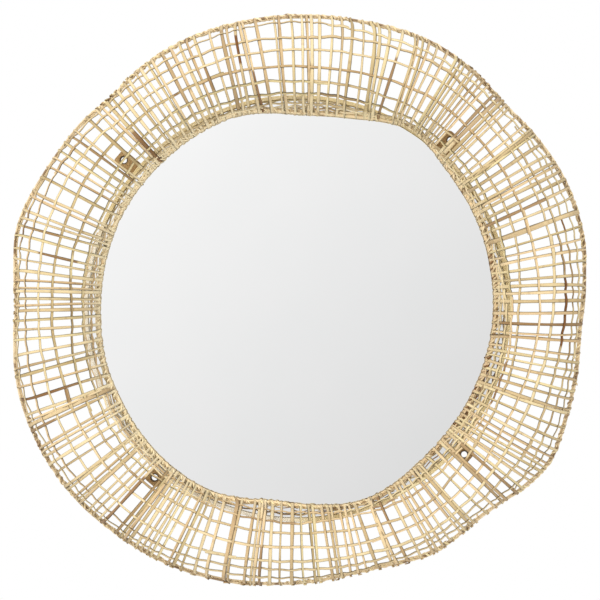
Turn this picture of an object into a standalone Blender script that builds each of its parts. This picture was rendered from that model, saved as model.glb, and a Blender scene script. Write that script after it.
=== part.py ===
"""Round wall mirror in a wide openwork collar of woven split cane.

World frame: Z up, X to the right as seen from the front, the front looks along -Y.
The wall face is the plane Y = 0 and the origin is its centre, behind the glass.
Lengths are metres. Angles round the mirror run clockwise from the top, seen from the front.
"""

import math

import bmesh
import bpy
from mathutils import Vector

# Glass, and the board that carries it in a shallow recess inside a narrow lip
GLASS_R = 0.2925
GLASS_THICK = 0.004
GLASS_SIDE_GAP = 0.0005
BOARD_LIP = 0.0055
BOARD_R = GLASS_R + GLASS_SIDE_GAP + BOARD_LIP
BOARD_BACK = 0.0117
BOARD_CHAMFER = 0.002
FIT_GAP = 0.0003
BOARD_DEPTH = BOARD_BACK + FIT_GAP + GLASS_THICK
ROUND_SEGMENTS = 48

# Fixing ears let into the back of the board, one for each screw in the wall: the angle of
# each, and how far it stands out of the board. They are alike, but not set equally deep.
EARS = ((42.3, 0.0315), (131.2, 0.0235), (220.2, 0.0230), (310.5, 0.0330))
EAR_WIDTH = 0.024
EAR_THICK = 0.004
EAR_LENGTH = 0.056
EAR_CORNER = 0.006
EAR_HOLE_D = 0.010
EAR_HOLE_IN = 0.0055
EAR_HOLE_SEGMENTS = 12

# Woven collar. Both rims wander, so each has a mean radius and offsets in millimetres
# at some angles, and the curve through them is smooth.
RIM_OVER_GLASS = 0.0145
INNER_R = GLASS_R - RIM_OVER_GLASS
COLLAR_BAND = 0.125
OUTER_R = INNER_R + COLLAR_BAND
OUTER_WANDER = (
    (0, 8.5), (12, 11.0), (26, 16.0), (36, 12.0), (45, 5.0), (53, 8.0), (66, 13.0),
    (76, 10.5), (88, 0.5), (95, -3.5), (104, 1.5), (113, 7.0), (121, 12.5),
    (128, 4.0), (134, -8.5), (140, -14.0), (151, -11.5), (163, -22.0), (175, -19.5),
    (190, -10.5), (205, -3.5), (220, 2.0), (236, 8.5), (252, 6.0), (262, -0.5),
    (270, -8.0), (277, -3.5), (286, 6.0), (300, 0.0), (311, -2.5), (318, -7.0),
    (325, -1.0), (336, 5.0), (350, 6.0),
)
INNER_WANDER = (
    (0, -7.5), (9, -6.0), (17, -0.5), (24, 7.5), (31, 13.5), (38, 12.0), (48, 5.5),
    (60, 1.8), (75, -1.8), (95, -5.2), (115, -7.0), (132, -7.0), (143, -3.8),
    (155, 3.0), (164, 3.8), (175, -3.2), (187, -8.2), (196, -2.5), (205, 3.8),
    (220, 3.8), (240, 0.2), (255, -0.8), (270, -3.0), (285, -2.2), (300, -0.6),
    (320, -0.4), (333, 2.0), (343, 2.5), (352, -2.0),
)
STAKE_LENGTH = 0.186
OUTER_FOOT_Y = -0.0150
OUTER_FOOT_WAVE = 0.0040
STAKES = 56
STAKE_WIDTH = 0.0046
STAKE_THICK = 0.0016
HOOP_WIDTH = 0.0038
HOOP_THICK = 0.0014
# Share of the way from the inner rim to the outer rim at which each hoop is woven
HOOP_SHARES = (0.145, 0.235, 0.335, 0.445, 0.57, 0.695, 0.82)
# A hoop runs this far in front of one stake and behind the next, middle to middle
WEAVE_OFFSET = 0.0029
# Bound rims, five sided: depth along the stake, and thickness across it
RIM_DEPTH = 0.0052
RIM_THICK = 0.0064
RIM_NARROW = 0.0018
# The inner rim lies this far in front of the glass
RIM_CLEAR = 0.0013
INNER_FOOT_Y = -(BOARD_DEPTH + RIM_CLEAR + RIM_DEPTH)


def smooth_round(knots, degrees):
    """Value at an angle of the smooth closed curve through knots of (angle, value)."""
    degrees = degrees % 360.0
    count = len(knots)
    at = max(i for i in range(count) if knots[i][0] <= degrees)

    def knot(i):
        turns, place = divmod(i, count)
        return knots[place][0] + 360.0 * turns, knots[place][1]

    (xa, ya), (xb, yb), (xc, yc), (xd, yd) = (knot(at + i) for i in (-1, 0, 1, 2))
    slope_b = (yc - ya) / (xc - xa)
    slope_c = (yd - yb) / (xd - xb)
    span = xc - xb
    s = (degrees - xb) / span
    return (
        yb * (1 + 2 * s) * (1 - s) ** 2
        + slope_b * span * s * (1 - s) ** 2
        + yc * s * s * (3 - 2 * s)
        + slope_c * span * s * s * (s - 1)
    )


def arch_half_angle(ratio):
    """Half angle of a circular arch whose chord is this share of its length."""
    low, high = 0.01, math.pi - 0.01
    for _ in range(40):
        middle = (low + high) / 2
        if math.sin(middle) / middle > ratio:
            low = middle
        else:
            high = middle
    return (low + high) / 2


def collar_point(degrees, share):
    """Middle of the woven sheet. Every stake has one length, so a narrow part of the
    collar stands further forward than a wide part."""
    inner = INNER_R + smooth_round(INNER_WANDER, degrees) / 1000 + RIM_THICK / 2
    outer = OUTER_R + smooth_round(OUTER_WANDER, degrees) / 1000 - RIM_THICK / 2
    turn = math.radians(degrees)
    wave = math.cos(5 * turn + 0.8) + 0.6 * math.cos(2 * turn - 1.1)
    foot_in = Vector((inner, INNER_FOOT_Y))
    foot_out = Vector((outer, OUTER_FOOT_Y - OUTER_FOOT_WAVE * wave))
    chord = foot_out - foot_in
    half = arch_half_angle(min(0.995, chord.length / STAKE_LENGTH))
    radius = STAKE_LENGTH / (2 * half)
    angle = (2 * share - 1) * half
    rise = radius * (math.cos(angle) - math.cos(half))
    across = 0.5 + 0.5 * math.sin(angle) / math.sin(half)
    forward = Vector((chord.y, -chord.x)).normalized()
    spot = foot_in + chord * across + forward * rise
    return Vector((spot.x * math.sin(turn), spot.y, spot.x * math.cos(turn)))


def collar_frame(degrees, share):
    """Point, direction along the stake, direction round the collar, outward normal."""
    step = 0.004
    low = max(0.0, share - step)
    high = min(1.0, share + step)
    along = (collar_point(degrees, high) - collar_point(degrees, low)).normalized()
    around = collar_point(degrees + 0.2, share) - collar_point(degrees - 0.2, share)
    around = (around - along * around.dot(along)).normalized()
    return collar_point(degrees, share), along, around, along.cross(around)


def stake_angle(number, share):
    """Angle of a stake. Stakes lean and gather a little, as hand weaving does."""
    pitch = 360.0 / STAKES
    base = pitch * number
    gather = 0.16 * math.sin(2.4 * number + 0.5) + 0.10 * math.sin(5.1 * number)
    lean = 0.20 * math.sin(1.7 * number + 1.0)
    return base + pitch * (gather + lean * (share - 0.5))


def finish(name, vertices, faces, colour, roughness, metallic=0.0):
    mesh = bpy.data.meshes.new(name)
    mesh.from_pydata([tuple(v) for v in vertices], [], faces)
    work = bmesh.new()
    work.from_mesh(mesh)
    bmesh.ops.recalc_face_normals(work, faces=work.faces)
    bmesh.ops.triangulate(work, faces=work.faces)
    work.to_mesh(mesh)
    work.free()
    for polygon in mesh.polygons:
        polygon.use_smooth = True
    mesh.set_sharp_from_angle(angle=math.radians(35))
    material = bpy.data.materials.new(name)
    material.use_nodes = True
    shader = material.node_tree.nodes["Principled BSDF"]
    shader.inputs["Base Color"].default_value = (*colour, 1.0)
    shader.inputs["Roughness"].default_value = roughness
    shader.inputs["Metallic"].default_value = metallic
    mesh.materials.append(material)
    thing = bpy.data.objects.new(name, mesh)
    bpy.context.scene.collection.objects.link(thing)
    return thing


def lathe(name, profile, colour, roughness, metallic=0.0):
    """Solid of revolution about the Y axis from (radius, y) points, axis to axis."""
    vertices = [Vector((0.0, profile[0][1], 0.0))]
    for radius, y in profile[1:-1]:
        for i in range(ROUND_SEGMENTS):
            turn = 2 * math.pi * i / ROUND_SEGMENTS
            vertices.append(Vector((radius * math.sin(turn), y, radius * math.cos(turn))))
    vertices.append(Vector((0.0, profile[-1][1], 0.0)))
    last = len(vertices) - 1
    rings = len(profile) - 2
    faces = []
    for i in range(ROUND_SEGMENTS):
        j = (i + 1) % ROUND_SEGMENTS
        faces.append((0, 1 + i, 1 + j))
        for ring in range(rings - 1):
            a = 1 + ring * ROUND_SEGMENTS
            b = a + ROUND_SEGMENTS
            faces.append((a + i, b + i, b + j, a + j))
        top = 1 + (rings - 1) * ROUND_SEGMENTS
        faces.append((top + i, last, top + j))
    return finish(name, vertices, faces, colour, roughness, metallic)


def plate_solid(name, outline, holes, y_back, y_front, place, colour, roughness):
    """Flat plate from an outline in (across, out) with round holes, put in place."""
    work = bmesh.new()
    loops = [outline] + holes
    edges = []
    for loop in loops:
        ring = [work.verts.new((x, 0.0, z)) for x, z in loop]
        edges += [work.edges.new((ring[i - 1], ring[i])) for i in range(len(ring))]
    filled = bmesh.ops.triangle_fill(work, edges=edges, use_beauty=True)
    faces = [f for f in filled["geom"] if isinstance(f, bmesh.types.BMFace)]
    grown = bmesh.ops.extrude_face_region(work, geom=faces, use_keep_orig=True)
    for vertex in [v for v in grown["geom"] if isinstance(v, bmesh.types.BMVert)]:
        vertex.co.y = 1.0
    work.verts.ensure_lookup_table()
    work.verts.index_update()
    vertices = []
    for vertex in work.verts:
        y = y_back + (y_front - y_back) * vertex.co.y
        vertices.append(place(vertex.co.x, y, vertex.co.z))
    faces = [[v.index for v in f.verts] for f in work.faces]
    work.free()
    return finish(name, vertices, faces, colour, roughness)


def build_board():
    inner = GLASS_R + GLASS_SIDE_GAP
    profile = (
        (0.0, 0.0),
        (BOARD_R - BOARD_CHAMFER, 0.0),
        (BOARD_R, -BOARD_CHAMFER),
        (BOARD_R, -BOARD_DEPTH),
        (inner, -BOARD_DEPTH),
        (inner, -BOARD_BACK),
        (0.0, -BOARD_BACK),
    )
    board = lathe("backing_board", profile, (0.36, 0.25, 0.12), 0.6)
    half = EAR_WIDTH / 2 + FIT_GAP
    depth = EAR_THICK + FIT_GAP
    high = BOARD_R + 0.01
    for number, (degrees, stand) in enumerate(EARS):
        low = BOARD_R + stand - EAR_LENGTH - FIT_GAP
        turn = math.radians(degrees)
        out = Vector((math.sin(turn), 0.0, math.cos(turn)))
        side = Vector((math.cos(turn), 0.0, -math.sin(turn)))
        corners = []
        for y in (0.01, -depth):
            for across, reach in ((-half, low), (half, low), (half, high), (-half, high)):
                corners.append(out * reach + side * across + Vector((0.0, y, 0.0)))
        faces = [(0, 1, 2, 3), (4, 7, 6, 5), (0, 4, 5, 1), (1, 5, 6, 2), (2, 6, 7, 3), (3, 7, 4, 0)]
        cutter = finish("ear_housing_%d" % (number + 1), corners, faces, (0.5, 0.5, 0.5), 0.5)
        cutter.hide_render = True
        cutter.display_type = "WIRE"
        cut = board.modifiers.new("ear_housing_%d" % (number + 1), "BOOLEAN")
        cut.operation = "DIFFERENCE"
        cut.solver = "EXACT"
        cut.object = cutter


def build_glass():
    back = -(BOARD_DEPTH - GLASS_THICK)
    front = -BOARD_DEPTH
    profile = ((0.0, back), (GLASS_R, back), (GLASS_R, front), (0.0, front))
    lathe("mirror_glass", profile, (0.9, 0.9, 0.9), 0.03, 1.0)


def build_ears():
    half = EAR_WIDTH / 2
    # Measured from the ear's outer end
    outline = [
        (-half, -EAR_LENGTH),
        (half, -EAR_LENGTH),
        (half, -EAR_CORNER),
        (half - EAR_CORNER, 0.0),
        (-half + EAR_CORNER, 0.0),
        (-half, -EAR_CORNER),
    ]
    middle = -EAR_HOLE_IN - EAR_HOLE_D / 2
    hole = []
    for i in range(EAR_HOLE_SEGMENTS):
        turn = 2 * math.pi * (i + 0.5) / EAR_HOLE_SEGMENTS
        hole.append((EAR_HOLE_D / 2 * math.cos(turn), middle + EAR_HOLE_D / 2 * math.sin(turn)))
    for number, (degrees, stand) in enumerate(EARS):
        turn = math.radians(degrees)
        out = Vector((math.sin(turn), 0.0, math.cos(turn)))
        side = Vector((math.cos(turn), 0.0, -math.sin(turn)))

        def place(across, y, reach):
            return out * (BOARD_R + stand + reach) + side * across + Vector((0.0, y, 0.0))

        plate_solid(
            "fixing_ear_%d" % (number + 1), outline, [hole], 0.0, -EAR_THICK, place,
            (0.42, 0.27, 0.13), 0.6,
        )


def strip_ring(frame, width, thick):
    """Four corners of a flat strip's section, across it and through it."""
    spot, across, normal = frame
    w = across * (width / 2)
    t = normal * (thick / 2)
    return [spot - w - t, spot + w - t, spot + w + t, spot - w + t]


def build_stakes():
    """Stakes and the two bound rims they are worked into, as one solid."""
    shares = (0.0,) + HOOP_SHARES + (1.0,)
    rim_section = (
        (0.0, RIM_NARROW / 2),
        (RIM_DEPTH * 0.5, RIM_THICK / 2),
        (RIM_DEPTH, 0.0),
        (RIM_DEPTH * 0.5, -RIM_THICK / 2),
        (0.0, -RIM_NARROW / 2),
    )
    sides = len(rim_section)
    vertices = []
    faces = []

    def rim(share, away):
        """Rim with two sections to a stake. It leaves out the face each stake grows from."""
        start = len(vertices)
        for number in range(STAKES):
            degrees = stake_angle(number, share)
            spot, along, around, normal = collar_frame(degrees, share)
            radius = math.hypot(spot.x, spot.z)
            half = math.degrees(STAKE_WIDTH / 2 / radius)
            for edge in (-half, half):
                spot, along, around, normal = collar_frame(degrees + edge, share)
                for depth, through in rim_section:
                    vertices.append(spot + along * (away * depth) + normal * through)
        rings = 2 * STAKES
        for ring in range(rings):
            a = start + ring * sides
            b = start + (ring + 1) % rings * sides
            for i in range(sides):
                j = (i + 1) % sides
                if ring % 2 == 0 and i == sides - 1:
                    continue
                faces.append((a + i, a + j, b + j, b + i))
        return start

    inner = rim(0.0, -1.0)
    outer = rim(1.0, 1.0)

    def socket(start, number):
        """Corners of the face left out for a stake, in the order of strip_ring."""
        a = start + 2 * number * sides
        b = a + sides
        return [a + sides - 1, b + sides - 1, b, a]

    for number in range(STAKES):
        rings = [socket(inner, number)]
        for share in shares[1:-1]:
            spot, _, around, normal = collar_frame(stake_angle(number, share), share)
            first = len(vertices)
            vertices.extend(strip_ring((spot, around, normal), STAKE_WIDTH, STAKE_THICK))
            rings.append([first, first + 1, first + 2, first + 3])
        rings.append(socket(outer, number))
        for low, high in zip(rings, rings[1:]):
            for i in range(4):
                j = (i + 1) % 4
                faces.append((low[i], low[j], high[j], high[i]))
    finish("collar_stakes", vertices, faces, (0.74, 0.56, 0.33), 0.65)


def build_hoop(number, share):
    """One woven hoop, in front of every other stake and behind the rest."""
    vertices = []
    faces = []
    for i in range(STAKES):
        spot, along, _, normal = collar_frame(stake_angle(i, share), share)
        side = 1.0 if (i + number) % 2 == 0 else -1.0
        middle = spot + normal * (side * WEAVE_OFFSET)
        vertices.extend(strip_ring((middle, along, normal), HOOP_WIDTH, HOOP_THICK))
    for i in range(STAKES):
        a = 4 * i
        b = 4 * ((i + 1) % STAKES)
        for k in range(4):
            m = (k + 1) % 4
            faces.append((a + k, a + m, b + m, b + k))
    finish("woven_hoop_%d" % number, vertices, faces, (0.78, 0.61, 0.38), 0.65)


def main():
    for thing in list(bpy.data.objects):
        bpy.data.objects.remove(thing, do_unlink=True)
    build_board()
    build_glass()
    build_ears()
    build_stakes()
    for number, share in enumerate(HOOP_SHARES):
        build_hoop(number + 1, share)


main()
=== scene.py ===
"""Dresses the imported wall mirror: a round glass on a board, inside a wide wavy collar of woven split cane.

Every piece is placed from the same sizes as the solids. Angles round the mirror run clockwise from the
top, seen from the front. A share runs from 0 at the inner rim to 1 at the outer rim, along the cane.
"""

import math
import random

import bmesh
import bpy
import numpy as np
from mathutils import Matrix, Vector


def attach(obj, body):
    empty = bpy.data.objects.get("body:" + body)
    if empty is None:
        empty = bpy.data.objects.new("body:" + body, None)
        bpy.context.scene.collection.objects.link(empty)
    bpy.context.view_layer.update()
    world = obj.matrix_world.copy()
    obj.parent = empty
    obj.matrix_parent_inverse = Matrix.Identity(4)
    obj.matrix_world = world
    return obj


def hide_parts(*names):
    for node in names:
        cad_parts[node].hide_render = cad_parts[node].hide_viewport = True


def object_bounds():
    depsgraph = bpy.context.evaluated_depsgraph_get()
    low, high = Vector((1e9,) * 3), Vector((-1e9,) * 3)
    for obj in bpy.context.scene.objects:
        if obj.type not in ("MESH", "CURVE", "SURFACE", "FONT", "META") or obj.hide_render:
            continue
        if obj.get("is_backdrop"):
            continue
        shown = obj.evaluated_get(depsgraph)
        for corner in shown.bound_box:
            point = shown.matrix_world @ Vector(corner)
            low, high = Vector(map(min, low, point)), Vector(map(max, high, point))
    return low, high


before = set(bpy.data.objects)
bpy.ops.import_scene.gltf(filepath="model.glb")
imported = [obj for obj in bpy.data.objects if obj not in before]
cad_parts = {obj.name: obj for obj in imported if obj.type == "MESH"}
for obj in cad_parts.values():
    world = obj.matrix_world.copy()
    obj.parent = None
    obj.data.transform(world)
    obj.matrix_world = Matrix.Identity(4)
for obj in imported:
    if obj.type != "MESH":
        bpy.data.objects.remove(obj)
CAD_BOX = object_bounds()
BOX_LOW, BOX_HIGH = (np.array(corner) for corner in CAD_BOX)

bl_info = {
    "name": "Woven Cane Wall Mirror",
    "version": (1, 0, 0),
    "blender": (4, 5, 0),
    "location": "View3D > Sidebar > Mirror",
    "description": "Builds a round wall mirror in a woven split cane collar",
    "category": "Object",
}

# Glass, board and ears, as the solids have them
GLASS_R = 0.2925
GLASS_THICK = 0.004
GLASS_SIDE_GAP = 0.0005
GLASS_ARRIS = 0.0009
BOARD_R = 0.2985
BOARD_DEPTH = 0.016
BOARD_BACK = 0.0117
BOARD_CHAMFER = 0.002
FIT_GAP = 0.0003
# Angle of each ear, and how far it stands out of the board
EARS = ((42.3, 0.0315), (131.2, 0.0235), (220.2, 0.0230), (310.5, 0.0330))
EAR_WIDTH = 0.024
EAR_THICK = 0.004
EAR_LENGTH = 0.056
EAR_CORNER = 0.006
EAR_HOLE_D = 0.010
EAR_HOLE_IN = 0.0105

# Camera: from the rims to the camera, the rims' plane, and the picture's scale there
VIEW_DISTANCE = 2.4
CAMERA_PLANE = -0.02
METRES_PER_PIXEL = 0.001395
PICTURE_PX = 600
# Middle of the mirror in the picture
CENTRE_PX = (297.5, 308.5)

# Rims of the collar: mean radius, and offsets in millimetres at some angles
OUTER_R = 0.403
OUTER_WANDER = (
    (0, 8.5), (12, 11.0), (26, 16.0), (36, 12.0), (45, 5.0), (53, 8.0), (66, 13.0),
    (76, 10.5), (88, 0.5), (95, -3.5), (104, 1.5), (113, 7.0), (121, 12.5),
    (128, 4.0), (134, -8.5), (140, -14.0), (151, -11.5), (163, -22.0), (175, -19.5),
    (190, -10.5), (205, -3.5), (220, 2.0), (236, 8.5), (252, 6.0), (262, -0.5),
    (270, -8.0), (277, -3.5), (286, 6.0), (300, 0.0), (311, -2.5), (318, -7.0),
    (325, -1.0), (336, 5.0), (350, 6.0),
)
INNER_R = 0.278
INNER_WANDER = (
    (0, -7.5), (9, -6.0), (17, -0.5), (24, 7.5), (31, 15.7), (38, 13.6), (48, 5.5),
    (60, 1.8), (75, -1.8), (95, -5.2), (115, -7.0), (132, -7.0), (143, -3.8),
    (155, 3.0), (164, 3.8), (175, -3.2), (187, -8.2), (196, -2.5), (205, 3.8),
    (220, 3.8), (240, 0.2), (255, -0.8), (270, -3.0), (285, -2.2), (300, -0.6),
    (320, 0.4), (333, 2.6), (343, 2.8), (352, -2.0),
)
STAKE_LENGTH = 0.186
INNER_FOOT_Y = -0.0225
OUTER_FOOT_Y = -0.0150
OUTER_FOOT_WAVE = 0.0040
RIM_THICK = 0.0064

# Angle of each radial cane half way along it, an eighth of a turn to a row
CANE_ANGLES = (
    (1.3, 2.4, 3.3, 5.1, 7.6, 9.9, 11.9, 14.8, 17.0, 18.1, 19.6, 21.8, 24.8, 25.6, 26.4, 27.4, 28.6,
     30.9, 32.8, 33.8, 34.6, 36.3, 37.0, 38.1, 39.1, 40.3, 42.6, 43.5, 44.7),
    (45.7, 46.7, 49.1, 51.2, 52.4, 53.1, 53.8, 55.8, 58.3, 60.2, 61.0, 62.3, 64.4, 66.2, 68.0, 71.0,
     73.8, 76.0, 78.2, 80.3, 82.8, 84.8, 86.3, 88.1),
    (91.0, 93.6, 95.7, 97.2, 99.7, 101.5, 103.0, 104.8, 107.1, 108.9, 111.1, 111.9, 114.6, 117.0,
     119.0, 120.5, 122.2, 123.5, 124.6, 126.0, 127.0, 128.7, 129.8, 132.2, 133.3),
    (135.4, 138.0, 141.0, 142.1, 143.2, 144.3, 146.5, 148.6, 150.1, 151.0, 153.6, 156.6, 158.8, 159.6,
     163.1, 165.2, 166.7, 168.5, 170.4, 171.4, 172.8, 175.4, 176.6, 178.7),
    (181.1, 184.2, 186.5, 188.5, 189.5, 190.3, 191.5, 195.0, 196.1, 199.7, 202.2, 204.5, 206.0, 207.1,
     209.5, 211.0, 211.9, 213.2, 214.5, 216.2, 217.0, 217.8, 218.8, 222.2, 223.3, 224.7),
    (226.3, 228.4, 229.2, 230.0, 231.8, 232.5, 235.4, 237.7, 239.9, 240.7, 241.8, 245.4, 246.5, 247.4,
     248.2, 251.2, 254.1, 256.6, 258.2, 260.7, 263.6, 265.5, 267.7, 269.6),
    (271.0, 272.2, 274.0, 274.8, 276.1, 277.9, 280.2, 282.0, 284.7, 287.2, 288.4, 289.9, 292.5, 293.6,
     297.2, 299.9, 301.9, 303.5, 305.7, 307.4, 309.0, 312.2, 314.7),
    (316.0, 317.2, 318.5, 320.1, 322.4, 323.5, 325.4, 326.8, 328.5, 329.5, 331.9, 333.9, 335.8, 337.4,
     339.0, 342.1, 344.1, 345.3, 347.0, 348.7, 349.6, 352.1, 355.5, 356.6, 359.0),
)
# Degrees by which the inner end of the cane lies clockwise of its outer end
CANE_LEAN = (
    (0.5, 1.2), (6.5, 1.6), (9.5, 3.0), (12, 3.2), (14.5, 4.2), (17.5, 5.2), (21.7, 2.4), (25, 4.2),
    (28.6, 2.0), (34, 1.0), (40, -0.7), (44, -0.2), (49, 0.6), (54, -0.1), (59, -0.8), (65, 0.4),
    (70, 0.2), (78, -0.4), (85, -1.5), (89, -0.2), (93.5, 1.2), (97, 2.0), (105, 0.5), (111, 1.8),
    (117, 0.5), (121, 0.7), (126, 1.7), (130, -0.7), (134, 0.2), (138, 2.0), (142, 1.6), (146, 0.9),
    (151, 0.0), (158, 0.8), (160, -0.1), (163, 1.4), (167, -0.6), (172, 0.4), (178, 0.8),
    (184, 0.9), (187, 1.5), (191, 1.6), (195, 2.2), (201, 2.8), (207, 0.4), (212, 0.9), (218, 0.2),
    (220, -1.2), (226, 0.6), (235, -0.2), (245, 0.8), (251, -1.3), (257, 0.5), (260, 1.0),
    (264, -0.2), (270, 0.8), (276, 1.2), (282, -0.2), (288, 0.5), (293.5, -1.3), (299, 1.0),
    (304, -0.2), (307.5, 1.0), (313, 0.0), (330, 0.0), (340, -0.5), (347, -1.8),
    (349.6, 1.3), (354, 0.7), (358, 0.8),
)
# Canes that stand out: angle at mid band, share where the colour starts and ends, how brown, width
MARKED_CANES = (
    (9.9, 0.55, 0.8, 0.3, 0.9), (17.0, 0.1, 0.8, 0.12, 1.3), (18.1, 0.1, 0.75, 0.15, 1.2),
    (21.8, 0.0, 0.58, 0.75, 1.0), (42.6, 0.30, 0.80, 0.70, 1.1), (43.5, 0.28, 0.95, 0.50, 1.5),
    (66.2, 0.05, 0.62, 0.65, 1.1), (71.0, 0.0, 0.55, 0.22, 1.8), (93.6, 0.05, 1.0, 0.70, 1.0),
    (129.8, 0.2, 1.0, 0.55, 1.1), (133.3, 0.2, 0.95, 0.55, 1.1), (144.3, 0.1, 0.6, 0.35, 1.0),
    (156.6, 0.05, 0.38, 0.60, 1.0), (188.5, 0.45, 1.0, 0.60, 1.0), (196.1, 0.0, 0.42, 0.15, 1.5),
    (218.8, 0.1, 1.0, 0.50, 1.0), (222.2, 0.30, 1.0, 0.75, 1.1), (245.4, 0.58, 1.0, 0.60, 1.0),
    (246.5, 0.0, 0.35, 0.25, 1.5), (251.2, 0.30, 0.95, 0.85, 1.0), (258.2, 0.45, 0.9, 0.45, 0.9),
    (282.0, 0.30, 0.60, 0.85, 0.9), (287.2, 0.45, 0.78, 0.65, 0.9), (293.6, 0.6, 1.0, 0.3, 1.0),
    (307.4, 0.10, 0.9, 0.70, 0.9), (312.2, 0.2, 1.0, 0.35, 1.2), (317.2, 0.0, 0.42, 0.85, 1.4),
    (331.9, 0.3, 0.8, 0.3, 1.2), (333.9, 0.4, 0.9, 0.3, 1.2), (339.0, 0.33, 0.55, 0.7, 1.1),
    (344.1, 0.1, 0.85, 0.40, 1.3), (347.0, 0.47, 0.72, 1.0, 1.0), (349.6, 0.0, 0.42, 0.85, 0.9),
)
# Radius of each hoop as the camera sees it, in picture pixels, at every fifteenth degree
HOOP_STEP = 15
HOOP_RADII_PX = (
    (205.5, 207, 214, 213, 211, 206.5, 209, 209.5, 209, 206.5, 209, 209, 203.5, 204.5, 209, 211.5,
     210.3, 208, 205.8, 206.2, 207, 208.5, 208.5, 207),
    (215.5, 216.5, 220, 220, 219, 214.5, 213, 213, 214, 216, 219, 214, 214.5, 214.5, 216, 221.5, 220.5,
     216, 215, 216, 216, 219, 219.5, 217),
    (227.6, 229, 231, 232, 231.8, 228, 220.5, 217, 219, 228, 234.8, 227.6, 224.5, 226.5, 228.5, 232.7,
     232, 229.5, 225.8, 231.5, 227.5, 229.7, 232, 230.5),
    (242.3, 244, 249, 249, 246.8, 243.6, 242.5, 240, 237.5, 244, 245.6, 243, 238.5, 242, 244, 247.5,
     247, 245, 246, 247, 248, 247.6, 246.8, 245.2),
    (259.3, 262, 268.4, 266.5, 265, 262.5, 256, 252, 251, 256, 259.6, 254, 253, 256.5, 262.5, 264.5,
     264.5, 260.5, 259.3, 263, 264.7, 261, 260, 259.8),
    (271.3, 277, 281, 274, 272, 271, 268.3, 265, 269, 266, 265.5, 263, 261, 265.5, 274, 277, 280,
     275.5, 272.5, 276, 277, 272.5, 271.5, 272.6),
    (287, 285, 288, 285, 289, 286.5, 281, 281, 287, 274, 271, 269, 269.5, 273.5, 281, 284.5, 286, 286,
     279, 284.5, 284.7, 279.5, 280.5, 284.8),
)
# One more length is woven in over part of the right hand side
SHORT_HOOP_PX = (
    (50, 284), (60, 282.6), (75, 278), (90, 275.5), (105, 275), (120, 278), (130, 283),
)
# Stretches of hoop that are brown: number of the hoop, first and last angle, how brown.
# Those of hoop number 1 between 180 and 263 degrees are painted shade, for the shadow along the board's
# edge.
BROWN_HOOPS = (
    (5, 82.5, 98.5, 1.0), (5, 76.0, 82.5, 0.5), (3, 247.5, 251.5, 0.7), (3, 329.5, 331.5, 0.7),
    (2, 251.5, 265.0, 0.3), (2, 131.0, 133.5, 0.5), (6, 283.5, 286.5, 0.8), (5, 300.0, 307.0, 0.35),
    (2, 286.0, 297.0, 0.25), (1, 216.0, 222.5, 0.4), (1, 5.4, 18.5, 0.6), (1, 103.8, 116.5, 0.8),
    (2, 136.0, 150.0, 0.3), (1, 144.0, 159.0, 0.35), (2, 217.0, 226.0, 0.5), (2, 258.0, 278.0, 0.5),
    (2, 283.0, 292.5, 0.4), (6, 283.0, 291.0, 0.6), (1, 180.0, 196.5, 0.5), (1, 248.5, 263.0, 0.3),
    (6, 300.0, 309.0, 0.3), (7, 70.3, 74.2, 1.0), (7, 76.0, 90.0, 0.55),
    (7, 95.5, 103.5, 0.6), (7, 108.0, 118.0, 0.4),
)
# Stretches of the outer rim that are brown
BROWN_RIM = (
    (10.0, 11.7), (14.0, 16.7), (21.7, 22.7), (25.5, 26.7), (28.7, 33.0), (39.7, 41.3), (49.2, 49.9),
    (64.2, 65.2), (70.0, 74.0), (75.8, 81.2), (82.0, 88.5), (92.3, 93.3), (102.4, 104.7), (118.0, 120.0),
    (142.2, 143.2), (146.4, 147.5), (151.8, 153.0), (156.5, 157.6), (168.0, 168.7), (183.0, 184.7),
    (187.5, 188.5), (194.3, 198.7), (204.6, 205.6), (226.0, 228.0), (241.0, 243.0), (244.0, 245.0),
    (258.2, 259.0), (281.0, 285.0), (297.7, 298.8), (302.2, 303.0), (317.5, 319.0), (323.8, 325.2),
    (327.3, 328.4), (337.0, 339.0), (352.5, 353.5),
)
# How closely short rows fill the gap next to the inner rim at some angles, from 0 to 1
CLOSING = (
    (0, 0.2), (12, 0.4), (20, 0.8), (35, 0.6), (45, 0.9), (58, 0.7), (66, 0.3), (74, 0.5), (88, 0.4),
    (110, 0.4), (118, 0.6), (132, 0.9), (137, 0.1), (143, 0.9), (152, 0.7), (162, 0.3), (172, 0.2),
    (182, 0.0), (198, 0.1), (210, 0.4), (226, 0.4), (242, 0.2), (256, 0.1), (268, 0.2), (290, 0.2),
    (298, 0.2), (305, 0.7), (316, 0.5), (330, 0.3), (346, 0.7), (352, 0.3),
)
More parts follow.
